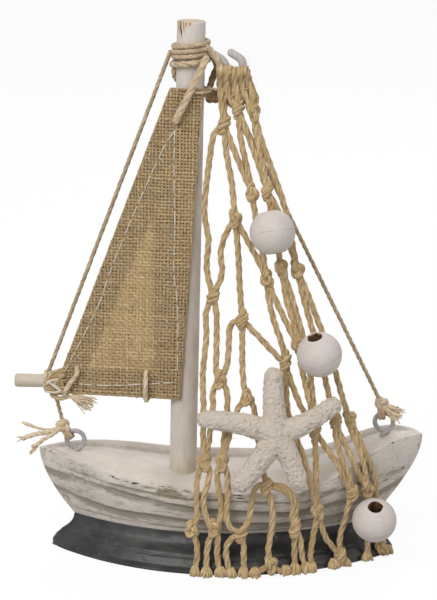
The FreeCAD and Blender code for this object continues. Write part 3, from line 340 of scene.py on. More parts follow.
def lobed_rope(shape, line, diameter, lay=15.0, seed=0, hint=None, sides=36):
    """A rope as one skin: its radius is that of three round strands seen along the line,
    which turn once in each lay."""
    gone = lengths(line)
    _, side, other = line_axes(line, hint)
    angle = np.linspace(0, 2 * np.pi, sides, endpoint=False)
    phase = 2 * np.pi * gone / lay
    nearest = np.abs((angle[None] - phase[:, None]) % (2 * np.pi / 3) - np.pi / 3)
    groove = np.exp(-((nearest - np.pi / 3) / 0.3) ** 2)
    radius = diameter / 2 * (1.0 - 0.26 * groove)
    cosine, sine = np.cos(angle)[None, :, None], np.sin(angle)[None, :, None]
    out = cosine * side[:, None] + sine * other[:, None]
    ends = np.minimum(1, np.sqrt(np.minimum(gone, gone[-1] - gone) / 1.2 + 0.12))
    swell = 1 + 0.05 * noise(joined(gone, 0, seed), 3.0, seed)
    body = line[:, None] + out * (radius * (ends * swell)[:, None])[..., None]
    turned = angle[None] - phase[:, None]
    local = joined(diameter / 2 * np.cos(turned), diameter / 2 * np.sin(turned), gone[:, None])
    add_rings(shape, body, [line[0], line[-1]], local, tint=0.5, part=3.0)


def fibres(shape, line, diameter, count, seed, reach=(2.5, 6.0), thick=0.07):
    """Stray fibres: short bent hairs that leave the cord at random places."""
    draw = np.random.default_rng(seed)
    tangent, side, other = line_axes(line)
    for _ in range(count):
        at = draw.integers(2, len(line) - 2)
        angle = draw.uniform(0, 2 * np.pi)
        out = np.cos(angle) * side[at] + np.sin(angle) * other[at]
        way = tangent[at] * draw.choice([-1, 1])
        long = draw.uniform(*reach)
        t = np.linspace(0, 1, 5)[:, None]
        bend = draw.normal(0, 0.25, 3)
        hair = (line[at] + out * diameter * 0.38 + way * long * t * 0.8
                + out * long * draw.uniform(0.15, 0.55) * t ** 2 + bend * long * t ** 2 * 0.6)
        tube(shape, hair, thick * (1.2 - 0.8 * t[:, 0]), 3, tint=draw.uniform(0.4, 1.0),
             part=draw.uniform(0, 50))


# Sizes that follow the solids

BASE_LENGTH, BASE_BEAM, BASE_CENTRE = 159.5, 64.0, 1.5
BASE_LIP, BASE_HEIGHT = 3.0, 16.0
SEAT_LENGTH, SEAT_BEAM = 137.5, 43.0
HULL_LENGTH, HULL_BEAM, HULL_CENTRE = 177.5, 59.2, 5.75
HULL_FULLNESS, STERN_RAKE, STEM_RAKE, SIDE_FLARE = 2.6, 1.7, 1.5, 1.4
SHEER_LOW, STERN_RISE, STERN_RUN, STERN_LEVEL = 38.7, 9.6, 72.0, 3.0
BOW_RISE, BOW_RUN, BOW_LEVEL = 20.3, 52.0, 8.5
RIM_WIDTH, CHANNEL_INSET, CHANNEL_DROP, DECK_CROWN = 1.4, 5.2, 3.0, 0.2
MAST_RADIUS, MAST_LEAN, MAST_FOOT_X, MAST_TOP = 6.25, math.radians(1.3), -16.4, 245.2
BOOM_RADIUS, BOOM_Z, BOOM_LENGTH = 3.1, 80.5, 71.7
SAIL_SWING = math.radians(3.0)
CLOTH, CORD, STAY, LIE_GAP = 0.7, 2.8, 2.4, 0.2
TACK_REACH, HEAD_FORE, HEAD_AFT = -1.1, 6.5, -7.7
LEECH_END, FOOT_END, CLEW_LIFT = -57.4, -51.6, 5.2
FOOT_BELOW_BOOM, HEAD_BELOW_TOP, HOOK_BELOW_TOP, HOOK_REACH = 5.7, 28.2, 14.2, 20.6
LASHING_BELOW_TOP, LASHING_HALF, STAY_KNOT = 8.3, 5.6, 5.4
RAIL_AFT, RAIL_FORE, FOOT_AFT, FOOT_FORE, FOOT_UP = 7.4, 25.5, 8.4, 3.5, 2.6
BOOM_TIE_INSET, EYE_RADIUS, EYE_WIRE = 15.9, 4.15, 1.08
BEAD_BORE, BEAD_FLAT = 3.0, 3.9
HOOK_BEND, HOOK_DROP, HOOK_NECK, HOOK_ROUND_END = 5.4, 4.0, 1.0, 325.0


def hull_tip(side):
    """The hull's end: side is -1 at the stern and 1 at the bow."""
    return HULL_CENTRE + side * HULL_LENGTH / 2


def sheer(x):
    """Height of the gunwale: two smooth rises to the stern and the bow."""
    stern = smooth(0, 1, 1 - (x - hull_tip(-1) - STERN_LEVEL) / STERN_RUN)
    bow = smooth(0, 1, 1 - (hull_tip(1) - BOW_LEVEL - x) / BOW_RUN)
    return SHEER_LOW + STERN_RISE * stern + BOW_RISE * bow


def lens_half(along, length, beam):
    """Half width of a lens of two arcs, at along = -1 .. 1."""
    half, rise = length / 2, beam / 2
    radius = (half * half + rise * rise) / (2 * rise)
    return np.sqrt(radius * radius - (half * along) ** 2) - (radius - rise)


def gunwale_half(along):
    """Half width of the gunwale: the beam times one less a power of along."""
    return HULL_BEAM / 2 * (1 - np.abs(np.clip(along, -1, 1)) ** HULL_FULLNESS)


def gunwale_half_at(x):
    """Half width of the gunwale at x."""
    return gunwale_half((x - HULL_CENTRE) / (HULL_LENGTH / 2))


def base_half_at(x):
    """Half width of the base's foot at x: a lens of two arcs."""
    along = np.clip((x - BASE_CENTRE) / (BASE_LENGTH / 2), -1, 1)
    return lens_half(along, BASE_LENGTH, BASE_BEAM)


def side_point(along, up):
    """The hull's side: along = -1 .. 1 to the bow, up = 0 at the seat .. 1 at the gunwale."""
    seat_aft = BASE_CENTRE - SEAT_LENGTH / 2
    seat_fore = BASE_CENTRE + SEAT_LENGTH / 2
    aft = seat_aft + (hull_tip(-1) - seat_aft) * (1 - (1 - up) ** STERN_RAKE)
    fore = seat_fore + (hull_tip(1) - seat_fore) * (1 - (1 - up) ** STEM_RAKE)
    x = (aft + fore) / 2 + along * (fore - aft) / 2
    z = BASE_HEIGHT + up * (sheer(HULL_CENTRE + along * HULL_LENGTH / 2) - BASE_HEIGHT)
    seat_half = lens_half(along, SEAT_LENGTH, SEAT_BEAM)
    half = seat_half + (gunwale_half(along) - seat_half) * (1 - (1 - up) ** SIDE_FLARE)
    return joined(x, -half, z)


def deck_line(along, inset, drop):
    """A line of the deck: inset from the gunwale and below it, both fading at the ends."""
    x = HULL_CENTRE + along * (HULL_LENGTH / 2 - inset)
    half = gunwale_half(along) * (1 - inset / (HULL_BEAM / 2))
    z = sheer(x) - drop * (1 - along ** 4)
    return joined(x, -half, z)


RIDGE_INSET = (CHANNEL_INSET + HULL_BEAM / 2) / 2


def deck_ridge(along):
    """The deck on the centre line: the sheer's height plus a crown that fades to the ends by
    the fourth power of along."""
    x = HULL_CENTRE + along * (HULL_LENGTH / 2 - RIDGE_INSET)
    return joined(x, 0 * x, sheer(x) + DECK_CROWN * (1 - along ** 4))


def deck_height(x):
    """Height of the deck on the centre line at x."""
    along = np.clip((x - HULL_CENTRE) / (HULL_LENGTH / 2 - RIDGE_INSET), -1, 1)
    return deck_ridge(along)[..., 2]


MAST_FOOT = np.array([MAST_FOOT_X, 0.0, float(deck_height(np.array(MAST_FOOT_X)))])
MAST_WAY = np.array([math.sin(MAST_LEAN), 0.0, math.cos(MAST_LEAN)])


def mast_x(z):
    """The mast's axis at a height: its foot plus the rise times the lean's tangent."""
    return MAST_FOOT_X + (z - MAST_FOOT[2]) * math.tan(MAST_LEAN)


SAIL_FOOT = BOOM_Z - FOOT_BELOW_BOOM
SAIL_HEIGHT = MAST_TOP - HEAD_BELOW_TOP - SAIL_FOOT
SAIL_CORNERS = np.array([(TACK_REACH, 0.0), (HEAD_FORE, SAIL_HEIGHT), (HEAD_AFT, SAIL_HEIGHT),
                         (LEECH_END, CLEW_LIFT), (FOOT_END, 0.0)])
SAIL_BACK = MAST_RADIUS + LIE_GAP
FRONT_LAYER, REAR_LAYER = SAIL_BACK + 1.05, SAIL_BACK + 0.35
CORD_FRONT = SAIL_BACK + 2 * CLOTH + STAY / 2 + LIE_GAP
BOOM_TIE = np.array([mast_x(BOOM_Z) - MAST_RADIUS - BOOM_LENGTH + BOOM_TIE_INSET, 0, BOOM_Z])


def sail_axes():
    """Rows: forward in the sail, out of its front to starboard, and up it."""
    lean = np.array([math.cos(MAST_LEAN), 0.0, -math.sin(MAST_LEAN)])
    forward = math.cos(SAIL_SWING) * lean - math.sin(SAIL_SWING) * np.array([0.0, 1.0, 0.0])
    out = -(math.sin(SAIL_SWING) * lean + math.cos(SAIL_SWING) * np.array([0.0, 1.0, 0.0]))
    return np.array([forward, out, MAST_WAY])


def sail_point(reach, depth, up):
    """A point by its reach forward of the mast, its depth to starboard and its height."""
    foot = np.array([mast_x(SAIL_FOOT), 0.0, SAIL_FOOT])
    return foot + joined(reach, depth, up).astype(float) @ sail_axes()


def sail_places(pixels, depth):
    """Reach and height on the sail behind pixels, at a depth in front of the mast's axis."""
    forward, out, up = sail_axes()
    foot = np.array([mast_x(SAIL_FOOT), 0.0, SAIL_FOOT])
    hit = on_plane(pixels, foot + out * depth, out) - foot
    return joined(hit @ forward, hit @ up)


HOOK_Z = MAST_TOP - HOOK_BELOW_TOP
HOOK_CENTRE = np.array([mast_x(HOOK_Z) + HOOK_REACH, 0.0, HOOK_Z - HOOK_DROP])


def towards(angle):
    """The direction at an angle in the hook's plane, degrees up from the bow."""
    turn = np.radians(np.asarray(angle, float))
    return joined(np.cos(turn), 0, np.sin(turn))


def on_hook(angle, radius):
    """A point at an angle and a radius from the middle of the hook's bend."""
    return HOOK_CENTRE + towards(angle) * radius


NET_OUT, NET_KNOT = CORD / 2 + 0.4, 1.38


def net_head(share):
    """The net's upper edge: an arc round the hook."""
    return on_hook(205 + 110 * np.asarray(share, float), HOOK_BEND + 3.6)


def net_rail(share):
    """Where the net goes over the gunwale."""
    aft = MAST_FOOT_X + RAIL_AFT
    x = aft + share * (hull_tip(1) - RAIL_FORE - aft)
    return joined(x, -gunwale_half_at(x) - NET_OUT, sheer(x) + NET_OUT)


def net_foot(share):
    """The net's lower edge, just outside the base's foot."""
    aft = MAST_FOOT_X + FOOT_AFT
    x = aft + share * (BASE_CENTRE + BASE_LENGTH / 2 - FOOT_FORE - aft)
    return joined(x, -base_half_at(x) - NET_OUT, FOOT_UP)


def net_point(place):
    """The net's surface: straight from the hook to the gunwale, then down to the foot."""
    share, down = place[..., 0], place[..., 1, None]
    upper = net_head(share) + (net_rail(share) - net_head(share)) * down
    lower = net_rail(share) + (net_foot(share) - net_rail(share)) * (down - 1)
    return np.where(down <= 1, upper, lower)


def net_normal(place):
    """The way out of the net, to the decorated side."""
    step = 0.02
    along = net_point(place + [step, 0]) - net_point(place - [step, 0])
    fall = net_point(place + [0, step]) - net_point(place - [0, step])
    return unit(np.cross(fall, along))


def net_places(pixels):
    """Share and down of the net behind pixels: the nearest of a grid, then Newton's steps."""
    pixels = np.atleast_2d(np.asarray(pixels, float))
    share, down = np.meshgrid(np.linspace(-0.12, 1.1, 62), np.linspace(0, 2, 101), indexing="ij")
    grid = joined(share, down).reshape(-1, 2)
    seen = to_pixels(net_point(grid))
    near = np.argmin(((pixels[:, None] - seen) ** 2).sum(-1), axis=1)
    place = grid[near]
    step = 1e-3
    for _ in range(8):
        miss = pixels - to_pixels(net_point(place))
        along = (to_pixels(net_point(place + [step, 0])) - to_pixels(net_point(place - [step, 0])))
        fall = (to_pixels(net_point(place + [0, step])) - to_pixels(net_point(place - [0, step])))
        slope = joined(along, fall) / (2 * step)
        move = np.linalg.solve(slope + np.eye(2) * 1e-6, miss[..., None])[..., 0]
        place = place + np.clip(move, -0.04, 0.04)
        place[:, 1] = np.clip(place[:, 1], 0.0, 2.02)
    return place


# Finishes

def tone(red, green, blue):
    """A colour as it looks on a screen, 0 to 255, as Blender's linear colour."""
    share = np.array([red, green, blue]) / 255
    linear = np.where(share <= 0.04045, share / 12.92, ((share + 0.055) / 1.055) ** 2.4)
    return (*linear.tolist(), 1.0)


class Finish:
    """A material that is put together node by node round one Principled shader."""

    def __init__(self, name, **constants):
        self.material = bpy.data.materials.new(name)
        self.material.use_nodes = True
        self.tree = self.material.node_tree
        self.shader = self.tree.nodes["Principled BSDF"]
        for socket, value in constants.items():
            self.shader.inputs[socket.replace("_", " ")].default_value = value
        self.place = self.add("ShaderNodeTexCoord").outputs["Object"]

    def add(self, kind, sockets=None, **settings):
        """A new node with its settings, each socket linked or set to a plain value."""
        node = self.tree.nodes.new(kind)
        for name, value in settings.items():
            setattr(node, name, value)
        for name, value in (sockets or {}).items():
            if isinstance(value, bpy.types.NodeSocket):
                self.tree.links.new(value, node.inputs[name])
            else:
                node.inputs[name].default_value = value
        return node

    def value(self, name):
        """A named value of the mesh's points."""
        node = self.add("ShaderNodeAttribute", attribute_name=name)
        return node.outputs["Vector" if name == "grain" else "Fac"]

    def scaled(self, place, scale):
        """Coordinates times a scale along each axis."""
        return self.add("ShaderNodeMapping", {"Vector": place, "Scale": scale}).outputs[0]

    def noise(self, size, detail=3.0, place=None, rough=0.55, warp=0.0):
        """Noise whose lumps are about a size in metres."""
        node = self.add("ShaderNodeTexNoise", {
            "Vector": place or self.place, "Scale": 1 / size, "Detail": detail,
            "Roughness": rough, "Distortion": warp})
        return node.outputs["Fac"]

    def ramp(self, value, *stops):
        """Colours or greys at places along a value."""
        node = self.add("ShaderNodeValToRGB", {"Fac": value})
        ramp = node.color_ramp
        while len(ramp.elements) < len(stops):
            ramp.elements.new(0.5)
        for element, (at, colour) in zip(ramp.elements, stops):
            element.position = at
            element.color = colour if isinstance(colour, tuple) else (colour, colour, colour, 1)
        return node.outputs["Color"]

    def mix(self, share, first, second):
        """The second colour laid over the first by a share."""
        return self.add("ShaderNodeMix", {0: share, 6: first, 7: second},
                        data_type="RGBA").outputs[2]

    def cover(self, under, over, value, low, high, most=1.0):
        """A colour over another by a share that grows from 0 to the most between two values."""
        return self.mix(self.ramp(value, (low, 0.0), (high, most)), under, over)

    def maths(self, kind, first, second=0.0, third=0.0):
        """One sum of up to three values."""
        return self.add("ShaderNodeMath", {0: first, 1: second, 2: third},
                        operation=kind).outputs[0]

    def bump(self, height, distance, strength=1.0):
        """Normals of a height that is a distance in metres at its full value."""
        return self.add("ShaderNodeBump", {"Height": height, "Distance": distance,
                                           "Strength": strength}).outputs[0]

    def done(self, colour, roughness=None, normal=None):
        """The material, with its colour, roughness and normals linked to the shader."""
        for name, source in (("Base Color", colour), ("Roughness", roughness),
                             ("Normal", normal)):
            if source is not None:
                self.tree.links.new(source, self.shader.inputs[name])
        return self.material


def painted_wood(name, paint, shade, wash, wood, dark, grain=(0.22, 1.0, 1.3)):
    """Chalky paint with brush marks and a brown wash in the hollows, rubbed through to bare wood
    and blackened where the points say so; on the hull the brown also paints shade on the side and
    in the channel, and the black paints a shadow line under each plank's edge."""
    finish = Finish(name, Specular_IOR_Level=0.3)
    brush = finish.noise(0.0022, 4, finish.scaled(finish.place, grain), 0.6, 0.3)
    cloud = finish.noise(0.013, 3)
    fine = finish.noise(0.0007, 4)
    body = finish.cover(paint, shade, cloud, 0.35, 0.7, 0.8)
    body = finish.cover(body, shade, brush, 0.5, 0.78, 0.5)
    grit = finish.maths("SUBTRACT", finish.noise(0.0013, 4, None, 0.7, 0.5), 0.5)
    long_grit = finish.maths("SUBTRACT", finish.noise(
        0.0011, 4, finish.scaled(finish.place, grain), 0.65), 0.5)

    def patchy(value, share, low, high, most, grain):
        """A named value of the points, broken up by a share of a grain."""
        level = finish.maths("MULTIPLY_ADD", grain, share, finish.value(value))
        return finish.ramp(level, (low, 0.0), (high, most))

    # The brown wash; on the hull it also carries painted shade on the side and in the channel.
    washed_and_shaded = patchy("stain", 0.8, 0.1, 0.62, 0.95, long_grit)
    bare = patchy("wear", 0.7, 0.46, 0.6, 1.0, grit)
    # Black chips and soot; on the hull it also carries the painted shadow lines under the plank
    # edges.
    black = patchy("soot", 0.8, 0.36, 0.62, 0.95, long_grit)
    fibre = finish.noise(0.0011, 5, finish.scaled(finish.place, grain), 0.6, 0.8)
    timber = finish.cover(wood, dark, fibre, 0.35, 0.7)
    colour = finish.mix(washed_and_shaded, body, wash)
    colour = finish.mix(bare, colour, timber)
    colour = finish.mix(black, colour, tone(48, 44, 40))
    height = finish.maths("MULTIPLY_ADD", fine, 0.25, finish.maths("MULTIPLY", brush, 0.5))
    height = finish.maths("MULTIPLY_ADD", bare, -0.45, height)
    height = finish.maths("MULTIPLY_ADD", black, -0.4, height)
    return finish.done(colour, finish.ramp(fine, (0.3, 0.55), (0.8, 0.75)),
                       finish.bump(height, 0.00025, 0.6))


# Carved lines: places along and up the side, width, depth and dirt
PLANK_LINES = (
    (((-1, 0.84), (-0.7, 0.80), (-0.25, 0.83), (0.1, 0.80), (0.4, 0.73), (0.62, 0.65),
      (0.85, 0.59), (1, 0.62)), 0.036, 0.6, 0.8),
    (((-1, 0.67), (-0.9, 0.64), (-0.57, 0.65), (-0.3, 0.62), (-0.1, 0.56), (0.17, 0.50),
      (0.46, 0.43), (0.65, 0.38), (0.84, 0.30), (1, 0.42)), 0.08, 1.3, 1.5),
    (((-1, 0.40), (-0.86, 0.30), (-0.62, 0.25), (-0.33, 0.27), (0, 0.22), (0.5, 0.16),
      (0.8, 0.12), (1, 0.15)), 0.078, 1.15, 1.5),
    (((-1, 0.12), (-0.6, 0.10), (0.0, 0.07), (1, 0.04)), 0.025, 0.3, 0.6),
)

# Marks: x and y in the picture, width, height, slope, black, bare wood and brown
HULL_MARKS = (
    (112.5, 477.0, 2.4, 0.9, 0.5, 1.1, 0.0, 0.2), (117, 478.8, 3.0, 0.7, 0.2, 0.8, 0.0, 0.4),
    (127, 481.6, 2.4, 0.7, 0.2, 0.9, 0.0, 0.3), (135.5, 483.2, 4.0, 1.2, 0.1, 1.1, 0.0, 0.3),
    (148, 487.5, 8.0, 1.3, 0.2, 0.35, 0.3, 0.7), (169, 492.0, 15.0, 4.8, 0.3, 0.1, 1.0, 1.0),
    (164, 487.6, 10.0, 0.7, 0.25, 0.8, 0.0, 0.5), (186, 491.0, 7.0, 1.2, 0.1, 0.8, 0.3, 0.7),
    (45, 447.5, 1.8, 1.2, -0.4, 0.9, 0.0, 0.0), (50.5, 451.0, 2.0, 0.9, 0.3, 0.9, 0.0, 0.0),
    (58, 453.6, 1.5, 1.2, 0.0, 0.5, 0.0, 0.3), (63, 455.0, 1.2, 0.9, 0.0, 0.5, 0.0, 0.2),
    (54, 474.0, 2.0, 4.0, 1.5, 0.4, 0.0, 0.6), (68, 497.0, 3.0, 3.0, 1.2, 0.5, 0.0, 0.7),
    (80, 478.0, 16.0, 1.4, 0.42, 0.1, 0.0, 0.8), (120, 494.0, 22.0, 2.2, 0.3, 0.1, 0.0, 0.9),
    (238, 495.6, 8.0, 0.8, 0.08, 0.8, 0.0, 0.3), (240, 498.6, 7.0, 0.8, 0.08, 0.9, 0.0, 0.3),
    (276.6, 497.2, 0.8, 2.4, 0.0, 1.2, 0.0, 0.4), (301, 494.5, 6.0, 5.0, -0.1, 0.35, 0.2, 1.0),
    (330, 491.5, 9.0, 3.0, -0.3, 0.4, 0.1, 0.9), (393, 442.6, 3.6, 0.9, -0.2, 0.9, 0.0, 0.2),
    (422.5, 436, 1.0, 5.0, 0.0, 0.7, 0.0, 0.3), (418, 447, 1.2, 6.0, -1.9, 0.5, 0.0, 0.2),
    (403, 467.5, 4.0, 0.9, -0.8, 0.8, 0.0, 0.4), (386, 479.5, 7.0, 0.8, -0.6, 0.7, 0.0, 0.4),
    (397, 458.0, 2.0, 0.8, -0.5, 0.7, 0.0, 0.2), (382, 502.0, 4.0, 1.8, -0.9, 0.6, 0.0, 0.8),
    (376, 487.0, 7.0, 0.9, -0.6, 0.5, 0.0, 0.4), (390, 490.0, 8.0, 0.9, -0.9, 0.4, 0.0, 0.6),
)


def marked(points, marks):
    """Black, bare and brown of the marks: each fades as a bell round its middle, which noise
    pulls out of its round shape."""
    seen = to_pixels(points)
    shift = np.stack([noise(points, 1.8, 71) + noise(points, 4.0, 72),
                      0.5 * noise(points, 1.1, 73) + 0.4 * noise(points, 3.0, 74)], -1)
    near = points[..., 1] < 0
    totals = np.zeros((3,) + points.shape[:-1])
    for x, y, wide, tall, slope, *amounts in marks:
        pulled = seen + shift * min(wide, tall * 1.6)
        across = (pulled[..., 0] - x) / wide
        up = (pulled[..., 1] - y - slope * (pulled[..., 0] - x)) / tall
        bell = np.exp(-across ** 2 - up ** 2) * near
        totals = np.maximum(totals, np.array(amounts).reshape(3, *[1] * bell.ndim) * bell)
    return totals


def slate_paint(look):
    """Thick dark grey paint, a little glossy, rubbed to a pale edge and greenish in places, and
    darker towards the bow, where the points say so."""
    finish = Finish("SlatePaint", Specular_IOR_Level=0.42)
    cloud = finish.noise(0.010, 4, finish.scaled(finish.place, (0.45, 1.0, 1.0)), 0.6, 0.4)
    streak = finish.noise(0.0018, 4, finish.scaled(finish.place, (0.13, 1.0, 1.0)), 0.6)
    colour = finish.cover(look.base_dark, look.base_light, cloud, 0.4, 0.64)
    colour = finish.cover(colour, tone(78, 79, 79), streak, 0.55, 0.8, 0.5)
    colour = finish.mix(finish.maths("MULTIPLY", finish.value("damp"), 0.75), colour,
                        tone(30, 31, 30))
    grit = finish.maths("SUBTRACT", finish.noise(0.0012, 4, None, 0.7), 0.5)
    worn = finish.maths("MULTIPLY_ADD", grit, 0.8, finish.value("wear"))
    colour = finish.cover(colour, tone(108, 108, 84), worn, 0.42, 0.7, 0.6)
    speck = finish.noise(0.0012, 2, finish.scaled(finish.place, (0.5, 1.0, 1.0)), 0.5)
    colour = finish.cover(colour, tone(150, 152, 152), speck, 0.72, 0.79, 0.6)
    glossy = finish.ramp(cloud, (0.3, 0.3), (0.8, 0.5))
    height = finish.maths("MULTIPLY_ADD", finish.noise(0.0008, 3), 0.6, streak)
    dents = finish.noise(0.005, 2, finish.scaled(finish.place, (0.6, 1.0, 1.0)), 0.5)
    height = finish.maths("MULTIPLY_ADD", dents, 3.0, height)
    return finish.done(colour, glossy, finish.bump(height, 0.00018, 0.5))


def jute(name, pale, middle, dark, size=1.0):
    """Twisted jute: long fine fibres along each strand, and each strand a little different."""
    finish = Finish(name, Specular_IOR_Level=0.25, Roughness=0.82, Sheen_Weight=0.25,
                    Sheen_Roughness=0.5)
    grain = finish.value("grain")
    shift = finish.add("ShaderNodeCombineXYZ", {"Z": finish.value("part")}).outputs[0]
    along = finish.add("ShaderNodeVectorMath", {0: grain, 1: shift}, operation="ADD").outputs[0]
    fibre = finish.noise(0.16 * size, 4, finish.scaled(along, (1.0, 1.0, 0.07)), 0.7)
    patch = finish.noise(5.0 * size, 3, along, 0.6)
    mixed = finish.maths("ADD", finish.maths("MULTIPLY", finish.value("tint"), 0.45),
                         finish.maths("MULTIPLY", patch, 0.75))
    colour = finish.cover(middle, pale, mixed, 0.25, 0.85)
    colour = finish.mix(finish.ramp(fibre, (0.34, 0.75), (0.56, 0.0)), colour, dark)
    wisp = finish.noise(0.5 * size, 3, finish.scaled(along, (1.0, 1.0, 0.14)), 0.6)
    colour = finish.mix(finish.ramp(wisp, (0.36, 0.5), (0.5, 0.0)), colour, dark)
    colour = finish.cover(colour, tone(250, 236, 206), wisp, 0.54, 0.72, 0.6)
    return finish.done(colour, None, finish.bump(finish.maths("ADD", fibre, wisp),
                                                 0.00035 * size, 0.8))


# Pale, middle and dark tones of each cord and thread
YARNS = {
    "SailThread": ((246, 238, 226), (232, 222, 206), (180, 168, 150)),
    "TieCord": ((242, 221, 188), (220, 195, 158), (152, 124, 90)),
    "StayCord": ((218, 194, 164), (194, 168, 136), (138, 110, 82)),
    "FrayedCord": ((250, 234, 206), (234, 212, 178), (178, 150, 114)),
    "ClewYarns": ((232, 208, 160), (208, 180, 130), (148, 120, 78)),
    # The head tie's cord in shade: a darker copy of its colours, painted shade.
    "TieCordInShade": ((196, 164, 120), (162, 132, 92), (100, 78, 52)),
}


def yarn(name, size=1.0):
    """The jute of a cord or thread of the table."""
    return jute(name, *[tone(*shade) for shade in YARNS[name]], size)


def hem_shade_lining(hem, panel):
    """The lining seen between the yarns: golden in the single panel, and in the double hem a dark
    sheet of painted shade, the shadow between the two layers.
    """
    finish = Finish("SailLiningHemShade", Roughness=0.9, Specular_IOR_Level=0.15)
    patch = finish.noise(0.004, 3)
    colour = finish.mix(finish.value("hem"), panel, hem)
    colour = finish.cover(colour, hem, patch, 0.4, 0.7, 0.35)
    return finish.done(colour, None, finish.bump(finish.noise(0.0006, 3), 0.0002, 0.5))


def chalk_paint(look):
    """Chalk in grains: pale on them and duller in the pits between, partly the chalk's own tone and
    partly painted shade that follows the grains' height.
    """
    finish = Finish("Starfish", Roughness=0.85, Specular_IOR_Level=0.25)
    pits = finish.noise(0.00075, 2, None, 0.6)
    level = finish.maths("MULTIPLY_ADD", pits, 0.55, finish.value("tint"))
    colour = finish.cover(look.star_crease, look.star_paint, level, 0.1, 0.75)
    return finish.done(colour, None, finish.bump(pits, 0.0013, 1.0))


def wire_paint(name, *pale):
    """Lumpy paint on a wire, a little darker in its hollows."""
    finish = Finish(name, Roughness=0.5, Specular_IOR_Level=0.45)
    lumps = finish.noise(0.0016, 4)
    colour = finish.mix(finish.ramp(lumps, (0.35, 0.0), (0.7, 1.0)), tone(*pale),
                        tone(*[value * 0.84 for value in pale]))
    return finish.done(colour, None, finish.bump(lumps, 0.00025, 0.6))


# Wood pieces

HULL_COLUMNS, BASE_COLUMNS = 304, 220


def both_sides(half):
    """Half a section and its mirror image, as one closed ring."""
    return np.concatenate([half, half[:, -2:0:-1] * [1.0, -1.0, 1.0]], 1)


def wood_shape(body, quads, wear, soot, stain):
    """A painted shape whose points know how worn, how black and how brown they are."""
    shape = Shape("wear", "stain", "soot")
    shape.add(body, quads, wear=wear, soot=soot, stain=stain)
    return shape


def hull_skin(along):
    """The profile from the seat up the side, over the rim and the deck and down the other
    side; its level is 0 at the seat, 1 at the gunwale and 3.5 on the deck's crown."""
    up = np.linspace(0, 1, 84)[None, :]
    side = side_point(along, up)
    rim = deck_line(along, np.linspace(0.15, RIM_WIDTH, 5)[None, :], 0.0)
    share = np.linspace(0, 1, 9)[None, 1:]
    channel = deck_line(along, RIM_WIDTH + (CHANNEL_INSET - RIM_WIDTH) * share,
                        CHANNEL_DROP * smooth(0, 1, share))
    sag = (CHANNEL_DROP - DECK_CROWN) / 2
    slope = deck_line(along, CHANNEL_INSET + (RIDGE_INSET - CHANNEL_INSET) * share,
                      CHANNEL_DROP + (sag - CHANNEL_DROP) * share)
    inner = deck_line(along, RIDGE_INSET, sag)
    crown = inner + (deck_ridge(along) - inner) * share[0][:, None]
    bottom = side_point(along, 0.0)
    middle = bottom * [1.0, 0.0, 1.0]
    keel = middle + (bottom - middle) * np.linspace(0, 1, 7)[:-1, None]
    half = np.concatenate([keel, side, rim, channel, slope, crown], axis=1)
    level = np.concatenate([np.zeros(keel.shape[1]), up[0], np.linspace(1.0, 1.2, 5)]
                           + [np.linspace(low, high, 9)[1:]
                              for low, high in ((1.2, 1.5), (1.5, 2.5), (2.5, 3.5))])[None]
    return both_sides(half), np.concatenate([level, level[:, -2:0:-1]], 1)


def carved_lines(skin, along, level):
    """Depth, dirt and painted shadow of the plank lines: each is a bell, wide below and steep
    above; the painted shadow is a thin dark line under the upper plank's edge.
    """
    on_side = level <= 1.0
    carved, brown, edge_shadow = (np.zeros(skin.shape[:2]) for _ in range(3))
    for number, (places, wide, deep, dirt) in enumerate(PLANK_LINES):
        line = curve(places, 0.01)
        shift = 0.014 * noise(skin * [1, 1, 0], 16.0, number) + 0.006 * noise(skin, 4.0, number)
        off = (level - np.interp(along, line[:, 0], line[:, 1]) - shift) / wide
        hollow = np.where(off < 0.5, np.exp(-((off - 0.5) / 1.35) ** 2),
                          np.exp(-((off - 0.5) / 0.34) ** 2)) * on_side
        broken = smooth(-0.8, 0.4, noise(skin * [1, 1, 0], 13.0, 40 + number))
        carved += hollow * deep * (0.45 + 0.55 * broken)
        brown += hollow * dirt * (0.4 + 0.6 * broken) * (1 - 0.5 * along ** 6)
        # Painted shadow: a thin dark line where the upper plank's edge overhangs the hollow.
        cut = np.exp(-((off - 0.9) / 0.45) ** 2) * on_side
        edge_shadow += cut * smooth(0.05, 0.7, noise(skin * [0.4, 1, 0], 5.0, 60 + number))
    return carved, brown, edge_shadow


